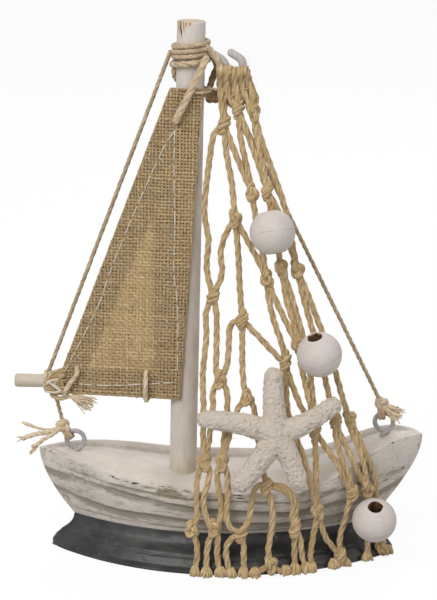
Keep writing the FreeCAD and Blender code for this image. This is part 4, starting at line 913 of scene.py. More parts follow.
def build_hull():
    """The hull: its profile carried from the stern to the bow, less the carved lines, plus
    waves and grooves of noise."""
    along = -np.cos(np.linspace(0, np.pi, HULL_COLUMNS))[:, None]
    skin, level = hull_skin(along)
    away = unit((skin - joined(skin[..., 0] * 0.98, 0, 30)) * [0.15, 1.0, 0.35])
    on_side = level <= 1.0
    carved, brown, edge_shadow = carved_lines(skin, along, level)
    waves = 0.22 * noise(skin, 8.0, 3) + 0.08 * noise(skin, 2.6, 4) - 0.1
    grooved = np.abs(noise(skin * [0.1, 1, 1.4], 1.7, 12))
    fade = 1 - along ** 6
    rise = smooth(0.0, 0.05, level)
    on_deck = level > 1.02
    push = (waves * rise * np.where(on_deck, 0.35, 1.0) - carved
            - 0.16 * (1 - smooth(0.0, 0.25, grooved)) * rise) * fade
    skin = skin + away * (push * np.where(level > 0.001, 1, 0))[..., None]
    corner = np.exp(-((level - 1.08) / 0.22) ** 2) * smooth(0.94, 1.0, along)
    skin = skin - corner[..., None] * [1.5, 0.0, 0.9]
    lines = 1 - smooth(0.0, 0.22, grooved)
    edge = np.exp(-((level - 1.0) / 0.045) ** 2) * (level < 1.2)
    rubbed = smooth(-0.1, 0.7, noise(skin * [0.35, 1, 1], 4.0, 8))
    black, bare, wash = marked(skin, HULL_MARKS) * ((level < 1.15) | (level > 1.7))
    deck_dark_lines = sum(np.exp(-((level - place) / 0.035) ** 2) for place in (1.75, 2.12))
    # Black: chips, darker fine grooves, the rubbed gunwale at the stern, two faint dark lines along
    # the deck, and the painted shadow under each plank's edge.
    soot = (0.32 * edge_shadow + 0.1 * lines * on_side
            + 0.5 * edge * rubbed * smooth(-0.36, -0.2, along) * (along < 0.45)
            + 0.26 * deck_dark_lines * smooth(0.1, 0.7, noise(skin * [0.3, 1, 1], 7.0, 14)))
    # Brown: the wash in the hollows and grooves and on the rubbed gunwale, and painted shade: a
    # patchy darkening of the side only, below the deck, and a band in the channel inside the rim.
    stain = (0.85 * brown + 0.25 * lines * on_side
             + 0.35 * edge * rubbed * smooth(-0.4, -0.2, along)
             + 0.22 * smooth(0.1, 0.8, noise(skin * [0.3, 1, 1], 6.0, 9)) * on_side
             + 0.3 * np.exp(-((level - 1.42) / 0.1) ** 2))
    wear = 0.4 * edge * rubbed + 0.1 * noise(skin, 5.0, 10)
    return wood_shape(skin, grid_quads(HULL_COLUMNS, skin.shape[1], True),
                      np.maximum(wear, bare), np.maximum(soot, black), np.maximum(stain, wash))


def build_base():
    """The plinth's skin: an upright lip, a cove and two flat ends, from tip to rounded tip."""
    along = -np.cos(np.linspace(0, np.pi, BASE_COLUMNS))[:, None]
    cove = np.array([(0.0, 0.0), (0.33, 0.30), (0.67, 0.80), (1.0, 1.0)])
    rise = np.linspace(0, 1, 40)
    line = curve(cove, 0.02)
    gone = np.interp(rise, line[:, 0], line[:, 1])
    heights = np.concatenate([np.linspace(0, BASE_LIP, 9)[:-1],
                              BASE_LIP + (BASE_HEIGHT - BASE_LIP) * rise])
    gone = np.concatenate([np.zeros(8), gone])
    length = BASE_LENGTH - (BASE_LENGTH - SEAT_LENGTH) * gone
    beam = BASE_BEAM - (BASE_BEAM - SEAT_BEAM) * gone
    round_end = along - 0.03 * (1 - gone[None]) * along ** 15
    half = lens_half(round_end, length[None], beam[None]) * np.sqrt(1 - along ** 40)
    x = BASE_CENTRE + along * length[None] / 2
    heights = heights[None] + 0.5 * smooth(0.9, 1.0, np.abs(along)) * (heights[None] < 0.01)
    side = joined(x, -half, heights)
    flat = np.linspace(0, 1, 8)
    under = side[:, :1] * joined(1, flat, 1)[None, :-1]
    over = side[:, -1:] * joined(1, flat, 1)[None, -2::-1]
    skin = both_sides(np.concatenate([under, side, over], 1))
    z = skin[..., 2]
    out = unit(skin * [0.2, 1.0, 0.0] + [0, 1e-9, 0])
    open_side = smooth(0.2, 1.5, z) * (1 - smooth(BASE_HEIGHT - 1.5, BASE_HEIGHT, z))
    ridges = noise(skin * [0.1, 0.3, 1], 2.6, 24)
    crease = np.exp(-((z - 6.6 - 0.7 * noise(skin * [1, 1, 0], 16.0, 25)) / 0.5) ** 2)
    push = (0.25 * noise(skin, 8.0, 21) + 0.09 * noise(skin, 2.4, 22) + 0.12 * ridges
            - 0.35 * crease - 0.35) * open_side
    skin = skin + out * push[..., None]
    edge = np.exp(-((z - BASE_LIP) / 0.8) ** 2) + 0.7 * np.exp(-((z - 0.4) / 0.8) ** 2)
    under_net = smooth(-30.0, -22.0, skin[..., 0]) * np.exp(-((z - 3.4) / 2.6) ** 2)
    wear = (0.2 * edge + 0.3 * noise(skin * [0.4, 1, 1], 5.0, 23) * open_side
            + 0.36 * under_net * (skin[..., 1] < 0))
    # Darker from the middle of the base to the bow.
    damp = smooth(-36.0, -6.0, skin[..., 0])
    shape = Shape("wear", "damp")
    shape.add(skin, grid_quads(BASE_COLUMNS, skin.shape[1], True), wear=wear, damp=damp)
    return shape


# The same for the mast
MAST_MARKS = (
    (179.3, 26.0, 0.6, 8.5, 0.0, 0.1, 1.3, 0.9), (181.3, 28.0, 0.65, 9.5, 0.0, 1.25, 1.2, 0.9),
    (184.2, 26.0, 0.6, 8.0, 0.0, 0.3, 1.3, 0.8), (186.6, 24.5, 0.8, 4.0, 0.0, 0.0, 1.4, 0.6),
    (189.9, 23.8, 1.0, 2.6, 0.0, 0.0, 1.3, 0.5), (186.0, 20.8, 11.0, 1.1, 0.0, 0.1, 0.75, 0.9),
    (191.5, 466.0, 4.0, 5.0, 0.0, 0.0, 0.2, 0.8),
)


def revolved(origin, way, profile, sides, bumps=0.0, seed=0):
    """A dowel: a profile of (distance along, radius) turned about an axis, poles closed."""
    way = unit(np.asarray(way, float))
    side = unit(TO_FRONT - np.dot(TO_FRONT, way) * way)
    other = np.cross(way, side)
    profile = np.asarray(profile, float)
    angle = np.linspace(0, 2 * np.pi, sides, endpoint=False)
    out = np.cos(angle)[:, None] * side + np.sin(angle)[:, None] * other
    body = (np.asarray(origin) + profile[:, :1, None].transpose(0, 2, 1) * way
            + profile[:, 1, None, None] * out[None])
    if bumps:
        lumps = bumps * (noise(body, 5.0, seed) + 0.5 * noise(body, 1.6, seed + 1))
        body = body + out[None] * (lumps * (profile[:, 1] > 0.5)[:, None])[..., None]
    return body, grid_quads(len(profile), sides, True)


def dense(profile, step):
    """The profile with points added so that none is further than a step from the next."""
    profile = np.asarray(profile, float)
    parts = []
    for first, second in zip(profile, profile[1:]):
        count = max(int(np.linalg.norm(second - first) / step), 1)
        parts.append(first + (second - first) * np.linspace(0, 1, count, endpoint=False)[:, None])
    return np.concatenate(parts + [profile[-1:]])


def build_mast():
    """The dowel: painted, with the paint worn off round its top and run down in streaks."""
    length = (MAST_TOP - MAST_FOOT[2]) / math.cos(MAST_LEAN)
    top = length - 0.02
    profile = np.concatenate([
        dense([(-11.9, 0.0), (-11.9, 6.2), (top - 13.0, 6.2)], 1.1)[:-1],
        dense([(top - 13.0, 6.2), (top - 0.4, 6.2), (top - 0.1, 6.08), (top, 5.8), (top, 0.0)],
              0.4)])
    body, quads = revolved(MAST_FOOT, MAST_WAY, profile, 112, bumps=0.06, seed=31)
    drop = MAST_TOP - body[..., 2]
    streak = noise(body * [1, 1, 0.12], 1.5, 33)
    off_axis = np.hypot(body[..., 0] - mast_x(body[..., 2]), body[..., 1])
    black, bare, wash = marked(body, MAST_MARKS) * (off_axis > 5.65)
    disc = (1 - smooth(5.9, 6.15, off_axis)) * (drop < 1.0)
    wear = 0.45 * disc + 0.06 * streak
    # More of the wash further down the mast.
    further_down = smooth(20.0, 190.0, drop)
    foot = 1 - smooth(0.0, 5.0, body[..., 2] - MAST_FOOT[2])
    stain = (0.06 + 0.12 * further_down + 0.14 * streak + 0.1 * noise(body, 14.0, 35) + 0.35 * foot
             + 0.6 * disc)
    return wood_shape(body, quads, np.maximum(wear, bare), black, np.maximum(stain, wash))


def build_boom():
    """The boom's dowel with a rounded outer end."""
    start = mast_x(BOOM_Z) - MAST_RADIUS
    reach = BOOM_LENGTH
    profile = dense([(-3.9, 0.0), (-3.9, 3.0), (reach - 1.2, 3.05), (reach - 0.5, 2.85),
                     (reach - 0.1, 2.3), (reach, 1.6), (reach, 0.0)], 0.7)
    body, quads = revolved((start, 0, BOOM_Z), (-1, 0, 0), profile, 56, bumps=0.05, seed=41)
    end = np.abs(body[..., 0] - (start - reach))
    wear = 0.25 * (1 - smooth(0.0, 1.2, end)) + 0.1 * noise(body, 4.0, 42)
    stain = 0.2 + 0.35 * (1 - smooth(2.0, 20.0, end)) + 0.2 * noise(body * [0.2, 1, 1], 2.0, 43)
    return wood_shape(body, quads, wear, 0.0, stain)


# Burlap

# Distance between the burlap's yarns
PITCH = 1.46


def inside_span(corners, reach):
    """Lowest and highest point of a convex outline on each upright line."""
    low = np.full(len(reach), np.inf)
    high = np.full(len(reach), -np.inf)
    for a, b in zip(corners, np.roll(corners, -1, axis=0)):
        if abs(b[0] - a[0]) < 1e-9:
            continue
        share = (reach - a[0]) / (b[0] - a[0])
        up = a[1] + share * (b[1] - a[1])
        held = (share >= 0) & (share <= 1)
        low = np.where(held, np.minimum(low, up), low)
        high = np.where(held, np.maximum(high, up), high)
    return low, high


def weave(shape, depth, swap, seed, per_turn=5, sides=4, thick=0.56, sunk=0.0):
    """Yarns of a plain weave: each runs along one way of the cloth and goes over and under the
    others by a cosine; swap runs them across instead of up."""
    corners = SAIL_CORNERS[:, ::-1] if swap else SAIL_CORNERS
    draw = np.random.default_rng(seed)
    first, last = corners[:, 0].min(), corners[:, 0].max()
    count = int((last - first) / PITCH)
    places = first + (np.arange(count) + 0.5) * (last - first) / count
    low, high = inside_span(corners, places)
    for number, (place, start, end) in enumerate(zip(places, low, high)):
        if not end - start > 1.5:
            continue
        frayed_by = draw.uniform(-0.35, 0.0, 2)
        along = np.arange(start - frayed_by[0], end + frayed_by[1], 2 * PITCH / per_turn)
        spot = joined(along, place, seed)
        across = (place + 0.24 * noise(spot, 9.0, seed) + 0.13 * noise(spot, 2.5, seed + 1)
                  + draw.normal(0, 0.07))
        wave = np.cos(np.pi * along / PITCH + np.pi * number) * (-1 if swap else 1)
        spots = (along, across) if swap else (across, along)
        single = 1 - hem_share(*spots)
        lift = depth + 0.24 * wave + 0.04 * noise(spot, 3.0, seed + 2) + sunk * single
        radius = (thick * (1 + 0.36 * single) * draw.uniform(0.84, 1.14)
                  * (1 + 0.24 * noise(spot, 2.4, seed + 3)))
        # The single panel's yarns are tinted lighter than the hem's: painted light that passes
        # through the single cloth.
        tube(shape, sail_point(spots[0], lift, spots[1]), radius, sides, sail_axes()[1], 0.58,
             tint=draw.uniform(-0.6, 0.6) + 0.85 * single, part=draw.uniform(0, 60))


# The single cloth inside the hem: its peak and its two lower corners
PANEL_CORNERS = ((154.0, 216.0), (154.5, 369.0), (87.0, 369.5))


def hem_lines():
    """The single, lighter part of the cloth: its peak and its two lower corners."""
    return sail_places(PANEL_CORNERS, FRONT_LAYER)


def hem_share(reach, up, soft=1.6):
    """1 where the cloth is double, fading to 0 inside the single panel."""
    peak, fore, after = hem_lines()
    spot = joined(reach, up)
    inside = np.full(np.shape(reach), np.inf)
    for start, end in ((peak, after), (after, fore), (fore, peak)):
        way = unit(end - start)
        off = (spot - start) @ np.array([-way[1], way[0]])
        inside = np.minimum(inside, off)
    return 1 - smooth(-soft, soft, inside)


def leech_reach(up):
    """Where the leech is at a height above the foot: a straight line to the sail's head."""
    return LEECH_END + (HEAD_AFT - LEECH_END) / (SAIL_HEIGHT - CLEW_LIFT) * (up - CLEW_LIFT)


def lining(shape):
    """The lining between the layers: a thin closed slab as wide as the sail at each height, pinched
    shut at its head and foot; in the hem it carries the painted shade between the layers."""
    low, high = 0.3, SAIL_HEIGHT - 0.3
    up = np.concatenate([[low], np.linspace(low, CLEW_LIFT, 8), np.linspace(CLEW_LIFT, high, 150),
                         [high]])
    fore = TACK_REACH + (HEAD_FORE - TACK_REACH) * up / SAIL_HEIGHT - 0.3
    cut = FOOT_END + (LEECH_END - FOOT_END) * up / CLEW_LIFT
    aft = np.where(up < CLEW_LIFT, cut, leech_reach(up)) + 0.4
    share = np.linspace(0, 1, 61)
    reach = aft[:, None] + (fore - aft)[:, None] * share
    reach = np.concatenate([reach, reach[:, -2:0:-1]], 1)
    face = np.concatenate([[0], np.ones(59), [0], -np.ones(59)])[None]
    shut = np.ones(len(up))[:, None]
    shut[[0, -1]] = 0
    heights = np.broadcast_to(up[:, None], reach.shape)
    body = sail_point(reach, SAIL_BACK + 0.72 + 0.06 * face * shut, heights)
    shape.add(body, grid_quads(len(up), reach.shape[1], True),
              hem=hem_share(reach, heights))


def sail_edges(shape):
    """The folded edges of the cloth: a yarn that lies along each side."""
    middle = SAIL_CORNERS.mean(0)
    for a, b in zip(SAIL_CORNERS, np.roll(SAIL_CORNERS, -1, axis=0)):
        ends = np.array([a, b]) + unit(middle - np.array([a, b])) * 0.35
        spots = resampled(ends, 0.8)
        spots = spots + 0.16 * noise(np.append(spots, spots[:, :1], 1), 2.0, 5)[:, None]
        line = sail_point(spots[:, 0], FRONT_LAYER - 0.15, spots[:, 1])
        tube(shape, line, 0.36, 6, sail_axes()[1], 0.8, tint=-0.3, part=a[0])


def stitches(shape, pixels, seed, stitch=3.4, gap=1.5):
    """Running stitches of white thread on the sail's front: short low arches."""
    places = curve(sail_places(pixels, FRONT_LAYER + 0.5), 0.25)
    gone = lengths(places)
    draw = np.random.default_rng(seed)
    at = 0.0
    while at < gone[-1] - stitch:
        long = stitch * draw.uniform(0.8, 1.2)
        t = np.linspace(0, 1, 7)
        spot = np.stack([np.interp(at + t * long, gone, places[:, k]) for k in (0, 1)], -1)
        rise = FRONT_LAYER + 0.1 + 0.45 * np.sin(np.pi * t) ** 0.6
        line = sail_point(spot[:, 0], rise, spot[:, 1])
        tube(shape, line, 0.28, 5, tint=draw.uniform(0, 1), part=draw.uniform(0, 50))
        at += long + gap * draw.uniform(0.7, 1.3)


# Rows of stitches, by places in the picture
STITCH_LINES = (
    [(174.6, 131), (164.6, 146), (148.6, 180), (127.5, 228.5), (110.6, 270.7), (96.9, 308.6),
     (67.4, 366.6), (61, 378)],
    [(174.6, 131), (174, 180), (174.9, 228.5), (173.9, 270.7), (178, 312.8), (177.4, 382.4)],
    [(62, 382.4), (102, 385.6), (138, 384.5), (178, 382.4)],
)

# White threads at the clew, by places in the picture
CLEW_THREADS = (
    [(46.5, 383), (52, 380.5), (58, 379.5)], [(48, 381.5), (54, 386), (61, 391)],
    [(46, 391.5), (54, 392.5), (61.5, 391)], [(57, 381), (54, 384), (58, 388)],
)

# Yarns that are drawn from the cloth into the boom's tie: root and tip
CLEW_FAN = (((63.5, 369), (48.5, 379)), ((63, 372.5), (47, 381)), ((64, 376), (46, 383)),
            ((64, 379.5), (45.5, 385)), ((64, 383), (46, 386.5)), ((65, 386.5), (47, 388.5)),
            ((66, 389.5), (49, 390.5)), ((68, 391.5), (52, 392.5)))


# Net

# Places of the net's knots in the picture, row by row
KNOTS = {
    "a1": (224, 124), "b1": (238, 108), "c1": (253.5, 111.5), "a2": (235, 218.5),
    "b2": (252, 193), "c2": (267, 190), "a3": (213, 297), "b3": (267, 279),
    "c3": (281.7, 269), "d3": (297, 269), "a4": (242, 319), "b4": (285.5, 362),
    "c4": (298, 346), "a5": (220, 380), "b5": (247, 398), "c5": (315, 431), "d5": (335.5, 421),
    "e5": (349.5, 418.5), "a6": (204.5, 462), "b6": (222, 462), "c6": (266.4, 486),
    "d6": (352, 492), "e6": (367, 489), "a7": (192, 529), "b7": (213.6, 527.5),
    "c7": (241.5, 534), "d7": (294.7, 527.5), "e7": (317.5, 511.3), "f7": (381, 547),
    "c8": (271, 564), "d8": (339.5, 556),
}

# Cords of the net, from knot to knot by way of places in the picture
CORDS = (
    ("a1", [(214, 134), (209.5, 160), (206, 188), (204.5, 215), (208.6, 240), (206.6, 268)],
     "a3"),
    ("a1", [(226, 150), (232, 185)], "a2"),
    ("a1", [(232, 145), (243, 172)], "b2"),
    ("b1", [(241, 140), (248, 172)], "b2"),
    ("b1", [(246, 130), (257, 160)], "c2"),
    ("c1", [(256, 135), (263, 165)], "c2"),
    ("c1", [(263, 145), (274, 175), (285, 208), (292, 242)], "d3"),
    ("a2", [(225, 236), (220.5, 254), (222, 274)], "a3"),
    ("a2", [(238, 250), (240, 290)], "a4"),
    ("a2", [(246, 238), (257, 258)], "b3"),
    ("b2", [(256, 220), (262, 250)], "b3"),
    ("c2", [(271, 212), (276, 240)], "c3"),
    ("c2", [(280, 215), (290, 245)], "d3"),
    ("a3", [(206, 312), (206.4, 336), (203.6, 364), (202.7, 382), (203.6, 409), (203, 435)], "a6"),
    ("a3", [(216.4, 312), (216.8, 327), (216.4, 354), (216, 371)], "a5"),
    ("a4", [(231, 324), (229, 336), (228.6, 350), (226.4, 368)], "a5"),
    ("a4", [(242.3, 332), (242.3, 364), (244, 387)], "b5"),
    ("a4", [(246.4, 324), (262.7, 341), (279, 358)], "b4"),
    ("b3", [(269, 300), (274.5, 323), (281.8, 343.6)], "b4"),
    ("b3", [(275.5, 300), (285, 320), (291, 332)], "c4"),
    ("c3", [(286.4, 300), (294.5, 325.5)], "c4"),
    ("c3", [(291, 295), (305, 345), (312, 390)], "c5"),
    ("d3", [(304, 300), (318, 350), (330, 400)], "d5"),
    ("d3", [(309, 298), (330, 355), (343, 400)], "e5"),
    ("b4", [(285.5, 377), (288, 412), (296, 438), (303.8, 457.5), (310, 482.5), (315, 502.5)],
     "e7"),
    ("b4", [(288, 373), (300, 404.5)], "c5"),
    ("c4", [(302, 370), (310, 405)], "c5"),
    ("a5", [(212.7, 391), (213, 408), (209, 440)], "a6"),
    ("a5", [(226.4, 390), (227.3, 409), (224, 440)], "b6"),
    ("b5", [(237.7, 409), (228, 440)], "b6"),
    ("b5", [(253.6, 407), (258, 440), (261.8, 464)], "c6"),
    ("a6", [(198, 475), (196.4, 491), (196.8, 518.6)], "a7"),
    ("a6", [(210, 470), (208, 482), (203.6, 500.5), (207.3, 520)], "b7"),
    ("b6", [(217.3, 470), (218.2, 487), (221, 505), (220, 520)], "b7"),
    ("b6", [(226.4, 470), (228, 491), (226.4, 509.5), (229, 526)], "c7"),
    ("c6", [(257, 485), (251.8, 500.5), (249, 518.6)], "c7"),
    ("c6", [(275, 485), (284.5, 487), (291.8, 494), (296.4, 505), (295, 518)], "d7"),
    ("c6", [(277, 488), (287, 492), (293.5, 504), (292, 518)], "d7"),
    ("c6", [(269, 495), (272.7, 509.5), (271.8, 527.7), (268, 550.5)], "c8"),
    ("c5", [(315, 441), (316, 464), (316, 489)], "e7"),
    ("c5", [(322.5, 442.5), (337.5, 465), (345, 481)], "d6"),
    ("d5", [(335, 432.5), (340, 453.8), (347.5, 472.5)], "d6"),
    ("d5", [(341, 436), (352.5, 460), (361, 478)], "e6"),
    ("e5", [(351, 430), (360, 451), (366, 478)], "e6"),
    ("e5", [(356, 432.5), (366, 455), (373.8, 475), (376, 500), (380, 530)], "f7"),
    ("e6", [(368, 505), (367.5, 542.5)], (367.5, 563)),
    ("e7", [(316, 521), (312.5, 538.8), (310, 557.5)], (312.5, 571)),
    ("e7", [(321, 525), (326, 538.8), (333, 547)], "d8"),
    ("d6", [(348.8, 503.8), (345, 520), (340, 536)], "d8"),
    ("a7", [(197.3, 548)], (195, 574)),
    ("b7", [(207.3, 548)], (206.5, 576)),
    ("b7", [(218, 538), (217, 555)], (221, 576)),
    ("c7", [(232, 538), (226.4, 546), (226.4, 557), (229, 568.6)], (231.8, 580)),
    ("c7", [(243.6, 545), (243.6, 557)], (244.5, 580)),
    ("d7", [(294.5, 541), (294.5, 559.5)], (295.5, 573)),
    ("d7", [(300, 538), (301.8, 555)], (306.4, 572)),
    ("c8", [(262, 569)], (254, 577)),
    ("c8", [(277, 570)], (287, 576)),
    ("d8", [(335, 563)], (333, 569)),
    ("d8", [(343, 563)], (346, 569)),
    ("f7", [(387, 552)], (390, 558)),
)

# Cords over the hook: top, middle, low, the knot they reach, and their lift
HEAD_CORDS = (
    ((219.5, 68.0), (219.0, 84.0), (221.0, 102.0), "a1", 1.5),
    ((223.3, 66.4), (223.2, 84.0), (224.2, 102.0), "a1", 0.5),
    ((226.8, 66.0), (226.8, 84.0), (230.0, 99.0), "b1", 1.6),
    ((230.4, 67.0), (231.4, 82.0), (234.3, 96.0), "b1", 0.6),
    ((233.6, 68.2), (235.0, 83.0), (237.8, 95.0), "b1", 2.0),
    ((236.8, 68.6), (238.4, 83.0), (241.5, 95.0), "b1", 0.7),
    ((239.8, 68.0), (242.0, 83.0), (246.0, 96.0), "c1", 1.9),
    ((242.7, 67.0), (245.2, 83.0), (249.5, 97.0), "c1", 0.5),
    ((245.4, 66.6), (248.2, 81.0), (253.0, 97.0), "c1", 1.6),
    ((247.2, 69.5), (250.4, 84.0), (256.0, 99.0), "c1", 0.0),
    ((225.2, 69.0), (225.4, 84.0), (228.0, 101.0), "b1", -1.4),
    ((231.6, 69.0), (233.0, 84.0), (235.4, 99.0), "b1", -1.2),
    ((238.4, 70.5), (240.2, 84.0), (245.0, 98.0), "c1", -1.2),
)


def net_line(pixels, lift=0.0, step=0.7):
    """A line on the net's surface behind pixels, eased where it folds over the gunwale."""
    places = net_places(curve(np.asarray(pixels, float), 2.0))
    line = net_point(places) + net_normal(places) * lift
    line = resampled(line, step)
    reach = int(3.0 / step)
    held = np.concatenate([np.repeat(line[:1], reach, 0), line, np.repeat(line[-1:], reach, 0)])
    window = np.hanning(2 * reach + 3)[1:-1]
    window /= window.sum()
    eased = np.stack([np.convolve(held[:, k], window, "valid") for k in range(3)], -1)
    return resampled(eased, step)


def build_knot(shape, centre, fall, out, seed, size=1.0):
    """A knot: either two slanted wraps round the fall, or an overhand's trefoil, sin t +
    2 sin 2t across and cos t - 2 cos 2t along the fall, that rises and sinks by sin 3t."""
    draw = np.random.default_rng(seed)
    side = unit(np.cross(fall, out))
    if seed % 5 < 2:
        turn = np.linspace(0, 2.4, 60)[:, None]
        angle = 2 * np.pi * (turn * draw.choice([-1, 1]) + draw.uniform(0, 1))
        pinch = 1.2 * size * (1 - 0.5 * np.abs(2 * turn / 2.4 - 1) ** 4)
        line = (centre + pinch * (np.cos(angle) * side + 0.85 * np.sin(angle) * out)
                + fall * size * ((turn - 1.2) * draw.uniform(1.4, 1.75)
                                 + draw.uniform(0.9, 1.5) * np.cos(angle)))
    else:
        t = np.linspace(0, 2 * np.pi, 56)[:, None]
        turn = draw.uniform(0, 2 * np.pi)
        across, along = np.sin(t) + 2 * np.sin(2 * t), np.cos(t) - 2 * np.cos(2 * t)
        across, along = (across * math.cos(turn) - along * math.sin(turn),
                         across * math.sin(turn) + along * math.cos(turn))
        line = (centre + side * across * size * draw.uniform(0.42, 0.5)
                + fall * along * size * draw.uniform(0.75, 0.95)
                - out * np.sin(3 * t) * 0.85 * size)
    rope(shape, line, 2.3 * size, 11.0, seed)


def head_cord(shape, top, middle, low, knot, lift, seed, thick):
    """A cord that comes up behind the hook's wire, over it and down the net's face."""
    face = net_places([middle, low, knot])
    face = net_point(face) + net_normal(face) * lift
    over = np.concatenate([at_depth([np.add(top, step)], y) for step, y in (
        ((0, 9.0), 3.4), ((0, 3.0), 3.2), ((0, 1.2), 0.0), ((0.1, 4.0), -3.4 - 0.3 * lift))])
    line = curve(np.concatenate([over, face]), 0.7)
    rope(shape, line, thick, 15.0, seed)
    fibres(shape, line[8:], thick, 9, seed + 50)


def tuft(shape, top, seed, wide=2.1):
    """The spread end of a cord: yarns that bow out from it and down to the floor."""
    draw = np.random.default_rng(seed)
    t = np.linspace(0, 1, 8)[:, None]
    for aside in np.linspace(-1, 1, 6):
        tip = np.array([top[0] + aside * wide + draw.normal(0, 0.35),
                        top[1] - draw.uniform(0.4, 3.4) * (1.15 - abs(aside)) - 0.4, 0.55])
        start = top + [aside * 0.6, draw.uniform(-0.4, 0.6), 2.4]
        bow = np.array([aside * draw.uniform(0.1, 0.9), -0.9, 0.3])
        line = start + (tip - start) * t + bow * np.sin(np.pi * t)
        thick = draw.uniform(0.75, 1.05) * (1 - 0.25 * t[:, 0])
        line[:, 2] = np.maximum(line[:, 2], thick + 0.03)
        tube(shape, line, thick, 6, tint=draw.uniform(0, 1), part=draw.uniform(0, 50))


def net_band(height):
    """Which of the net's three pieces a height in the picture belongs to."""
    return 0 if height < 270 else 1 if height < 470 else 2


def build_net(thick):
    """Three pieces of the net: the cords above, amid and below, with their knots."""
    shapes = [cord_shape() for _ in range(3)]
    for number, (start, via, end) in enumerate(CORDS):
        pixels = [KNOTS[start]] + via + [KNOTS[end] if isinstance(end, str) else end]
        line = net_line(pixels, 0.15 * (number % 3))
        shape = shapes[net_band(pixels[len(pixels) // 2][1])]
        rope(shape, line, thick, 16.0, number + 100)
        fibres(shape, line, thick, 6, number + 300)
        if not isinstance(end, str):
            tuft(shapes[2], line[-1], number + 900)
    knots = list(KNOTS.values())
    for number, (pixel, place) in enumerate(zip(knots, net_places(knots))):
        centre = net_point(place) + net_normal(place) * 0.5
        fall = unit(net_point(place + [0, 0.01]) - net_point(place - [0, 0.01]))
        build_knot(shapes[net_band(pixel[1])], centre, fall, net_normal(place), number + 500,
                   NET_KNOT)
    for number, (top, middle, low, knot, lift) in enumerate(HEAD_CORDS):
        head_cord(shapes[0], top, middle, low, KNOTS[knot], lift, number + 700, thick)
    thread = net_places([(230.5, 97), (236, 93), (241, 90), (249, 88)])
    tube(shapes[0], curve(net_point(thread) + net_normal(thread) * 3.0, 0.6), 0.26, 5, tint=1.0,
         part=9.0)
    return shapes


# Lashing, ties and stays

def turns_round(centre, axis, out, radius, turns, pitch, tilt, start=0.0, per_turn=44):
    """A cord wound round an axis: a circle whose height grows by the pitch each turn and
    swings by the tilt across it."""
    axis = unit(np.asarray(axis, float))
    out = unit(np.asarray(out, float) - np.dot(out, axis) * axis)
    side = np.cross(axis, out)
    t = np.linspace(0, turns, int(turns * per_turn))[:, None]
    angle = 2 * np.pi * (t + start)
    return (np.asarray(centre) + radius * (np.cos(angle) * out + np.sin(angle) * side)
            + ((t - turns / 2) * pitch + tilt * np.sin(angle)) * axis)


def build_lashing():
    """Three slanted turns of cord at the mast's head, a thicker one under them, and the cord's
    way down behind the mast."""
    shape = cord_shape()
    for z, radius, turns, thick, lay, tilt in ((232.9, 1.25, 3, 2.5, 7.5, 0.45),
                                               (227.6, 1.5, 1, 3.2, 13.0, 0.7)):
        centre = np.array([mast_x(z), 0, z])
        line = turns_round(centre, MAST_WAY, TO_FRONT, MAST_RADIUS + radius, turns, 2.27, tilt, 0.5)
        rope(shape, line, thick, lay, 801 + turns, MAST_WAY)
    aside = [(-17.6, 4.6, 229.0), (-19.0, 1.6, 226.0), (-19.5, 0.6, 222.5), (-18.4, 3.4, 219.0),
             (-14.0, 7.4, 217.0)]
    rope(shape, curve(aside, 0.6), 2.5, 8.0, 806, (0, 1, 0))
    along_hook = np.concatenate([at_depth([(206.0, 47.0)], -5.0), at_depth(
        [(211.2, 51.5), (215.2, 57.0), (218.6, 62.5)], -2.9), at_depth([(220.0, 72.0)], -3.6)])
    rope(shape, curve(along_hook, 0.6), 3.3, 12.0, 807, (0, 1, 0))
    return shape


# The lashing's loose end
TAIL_ROUTE = ((-4.3, -7.8, 231.3), (-10.0, -11.7, 218.7), (-18.9, -9.6, 201.8))


def nurbs_line(points, name):
    """Points of a smooth NURBS route with the given control points, in metres."""
    route = bpy.data.curves.new(name, "CURVE")
    route.dimensions = "3D"
    spline = route.splines.new("NURBS")
    spline.points.add(len(points) - 1)
    for held, point in zip(spline.points, points):
        held.co = (*[value * MM for value in point], 1.0)
    spline.order_u = 3
    spline.use_endpoint_u = True
    spline.resolution_u = 24
    route_object = linked(name, route)
    mesh = bpy.data.meshes.new_from_object(route_object)
    line = held_by(mesh, "co")
    bpy.data.objects.remove(route_object)
    bpy.data.curves.remove(route)
    bpy.data.meshes.remove(mesh)
    return line


# Each eye's place, its lift above the deck, and the angle of the stay's knot on it
EYES = {"stern": (hull_tip(-1) + 16.9, 5.0, 130.0), "bow": (hull_tip(1) - 18.9, 6.6, 98.0)}


def eye_centre(name):
    """The middle of a screw eye's ring: its lift above the deck."""
    x, lift, _ = EYES[name]
    return np.array([x, 0.0, float(deck_height(np.array(x))) + lift])


def build_eye(name):
    """A screw eye: wire bent into a ring whose two ends cross at the deck."""
    centre = eye_centre(name)
    ring = [(2.9, 0.9, -7.0), (0.4, 0.8, -5.2), (-2.9, 0.6, -3.1), (-4.15, 0.3, 0.0),
            (-2.95, 0.1, 2.95), (0.0, 0.0, 4.15), (2.95, -0.1, 2.95), (4.15, -0.3, 0.0),
            (3.2, -0.6, -2.8), (0.5, -0.9, -4.9), (-1.4, -1.0, -6.4)]
    shape = cord_shape()
    line = curve(centre + np.array(ring), 0.35)
    tube(shape, line, EYE_WIRE * (1 + 0.05 * noise(line, 1.6, 77)), 14, (0, 1, 0), tint=0.5)
    shank = centre + np.linspace(-6.0, -11.8, 12)[:, None] * [0.0, 0.0, 1.0]
    tube(shape, shank, 0.85, 10, (0, 1, 0), tint=0.5)
    return shape


# The straight end of the hook, by places in the picture
HOOK_OVER = ((242.8, 67.0), (242.4, 62.0), (239.4, 58.0), (233.6, 54.2), (228.2, 50.8))


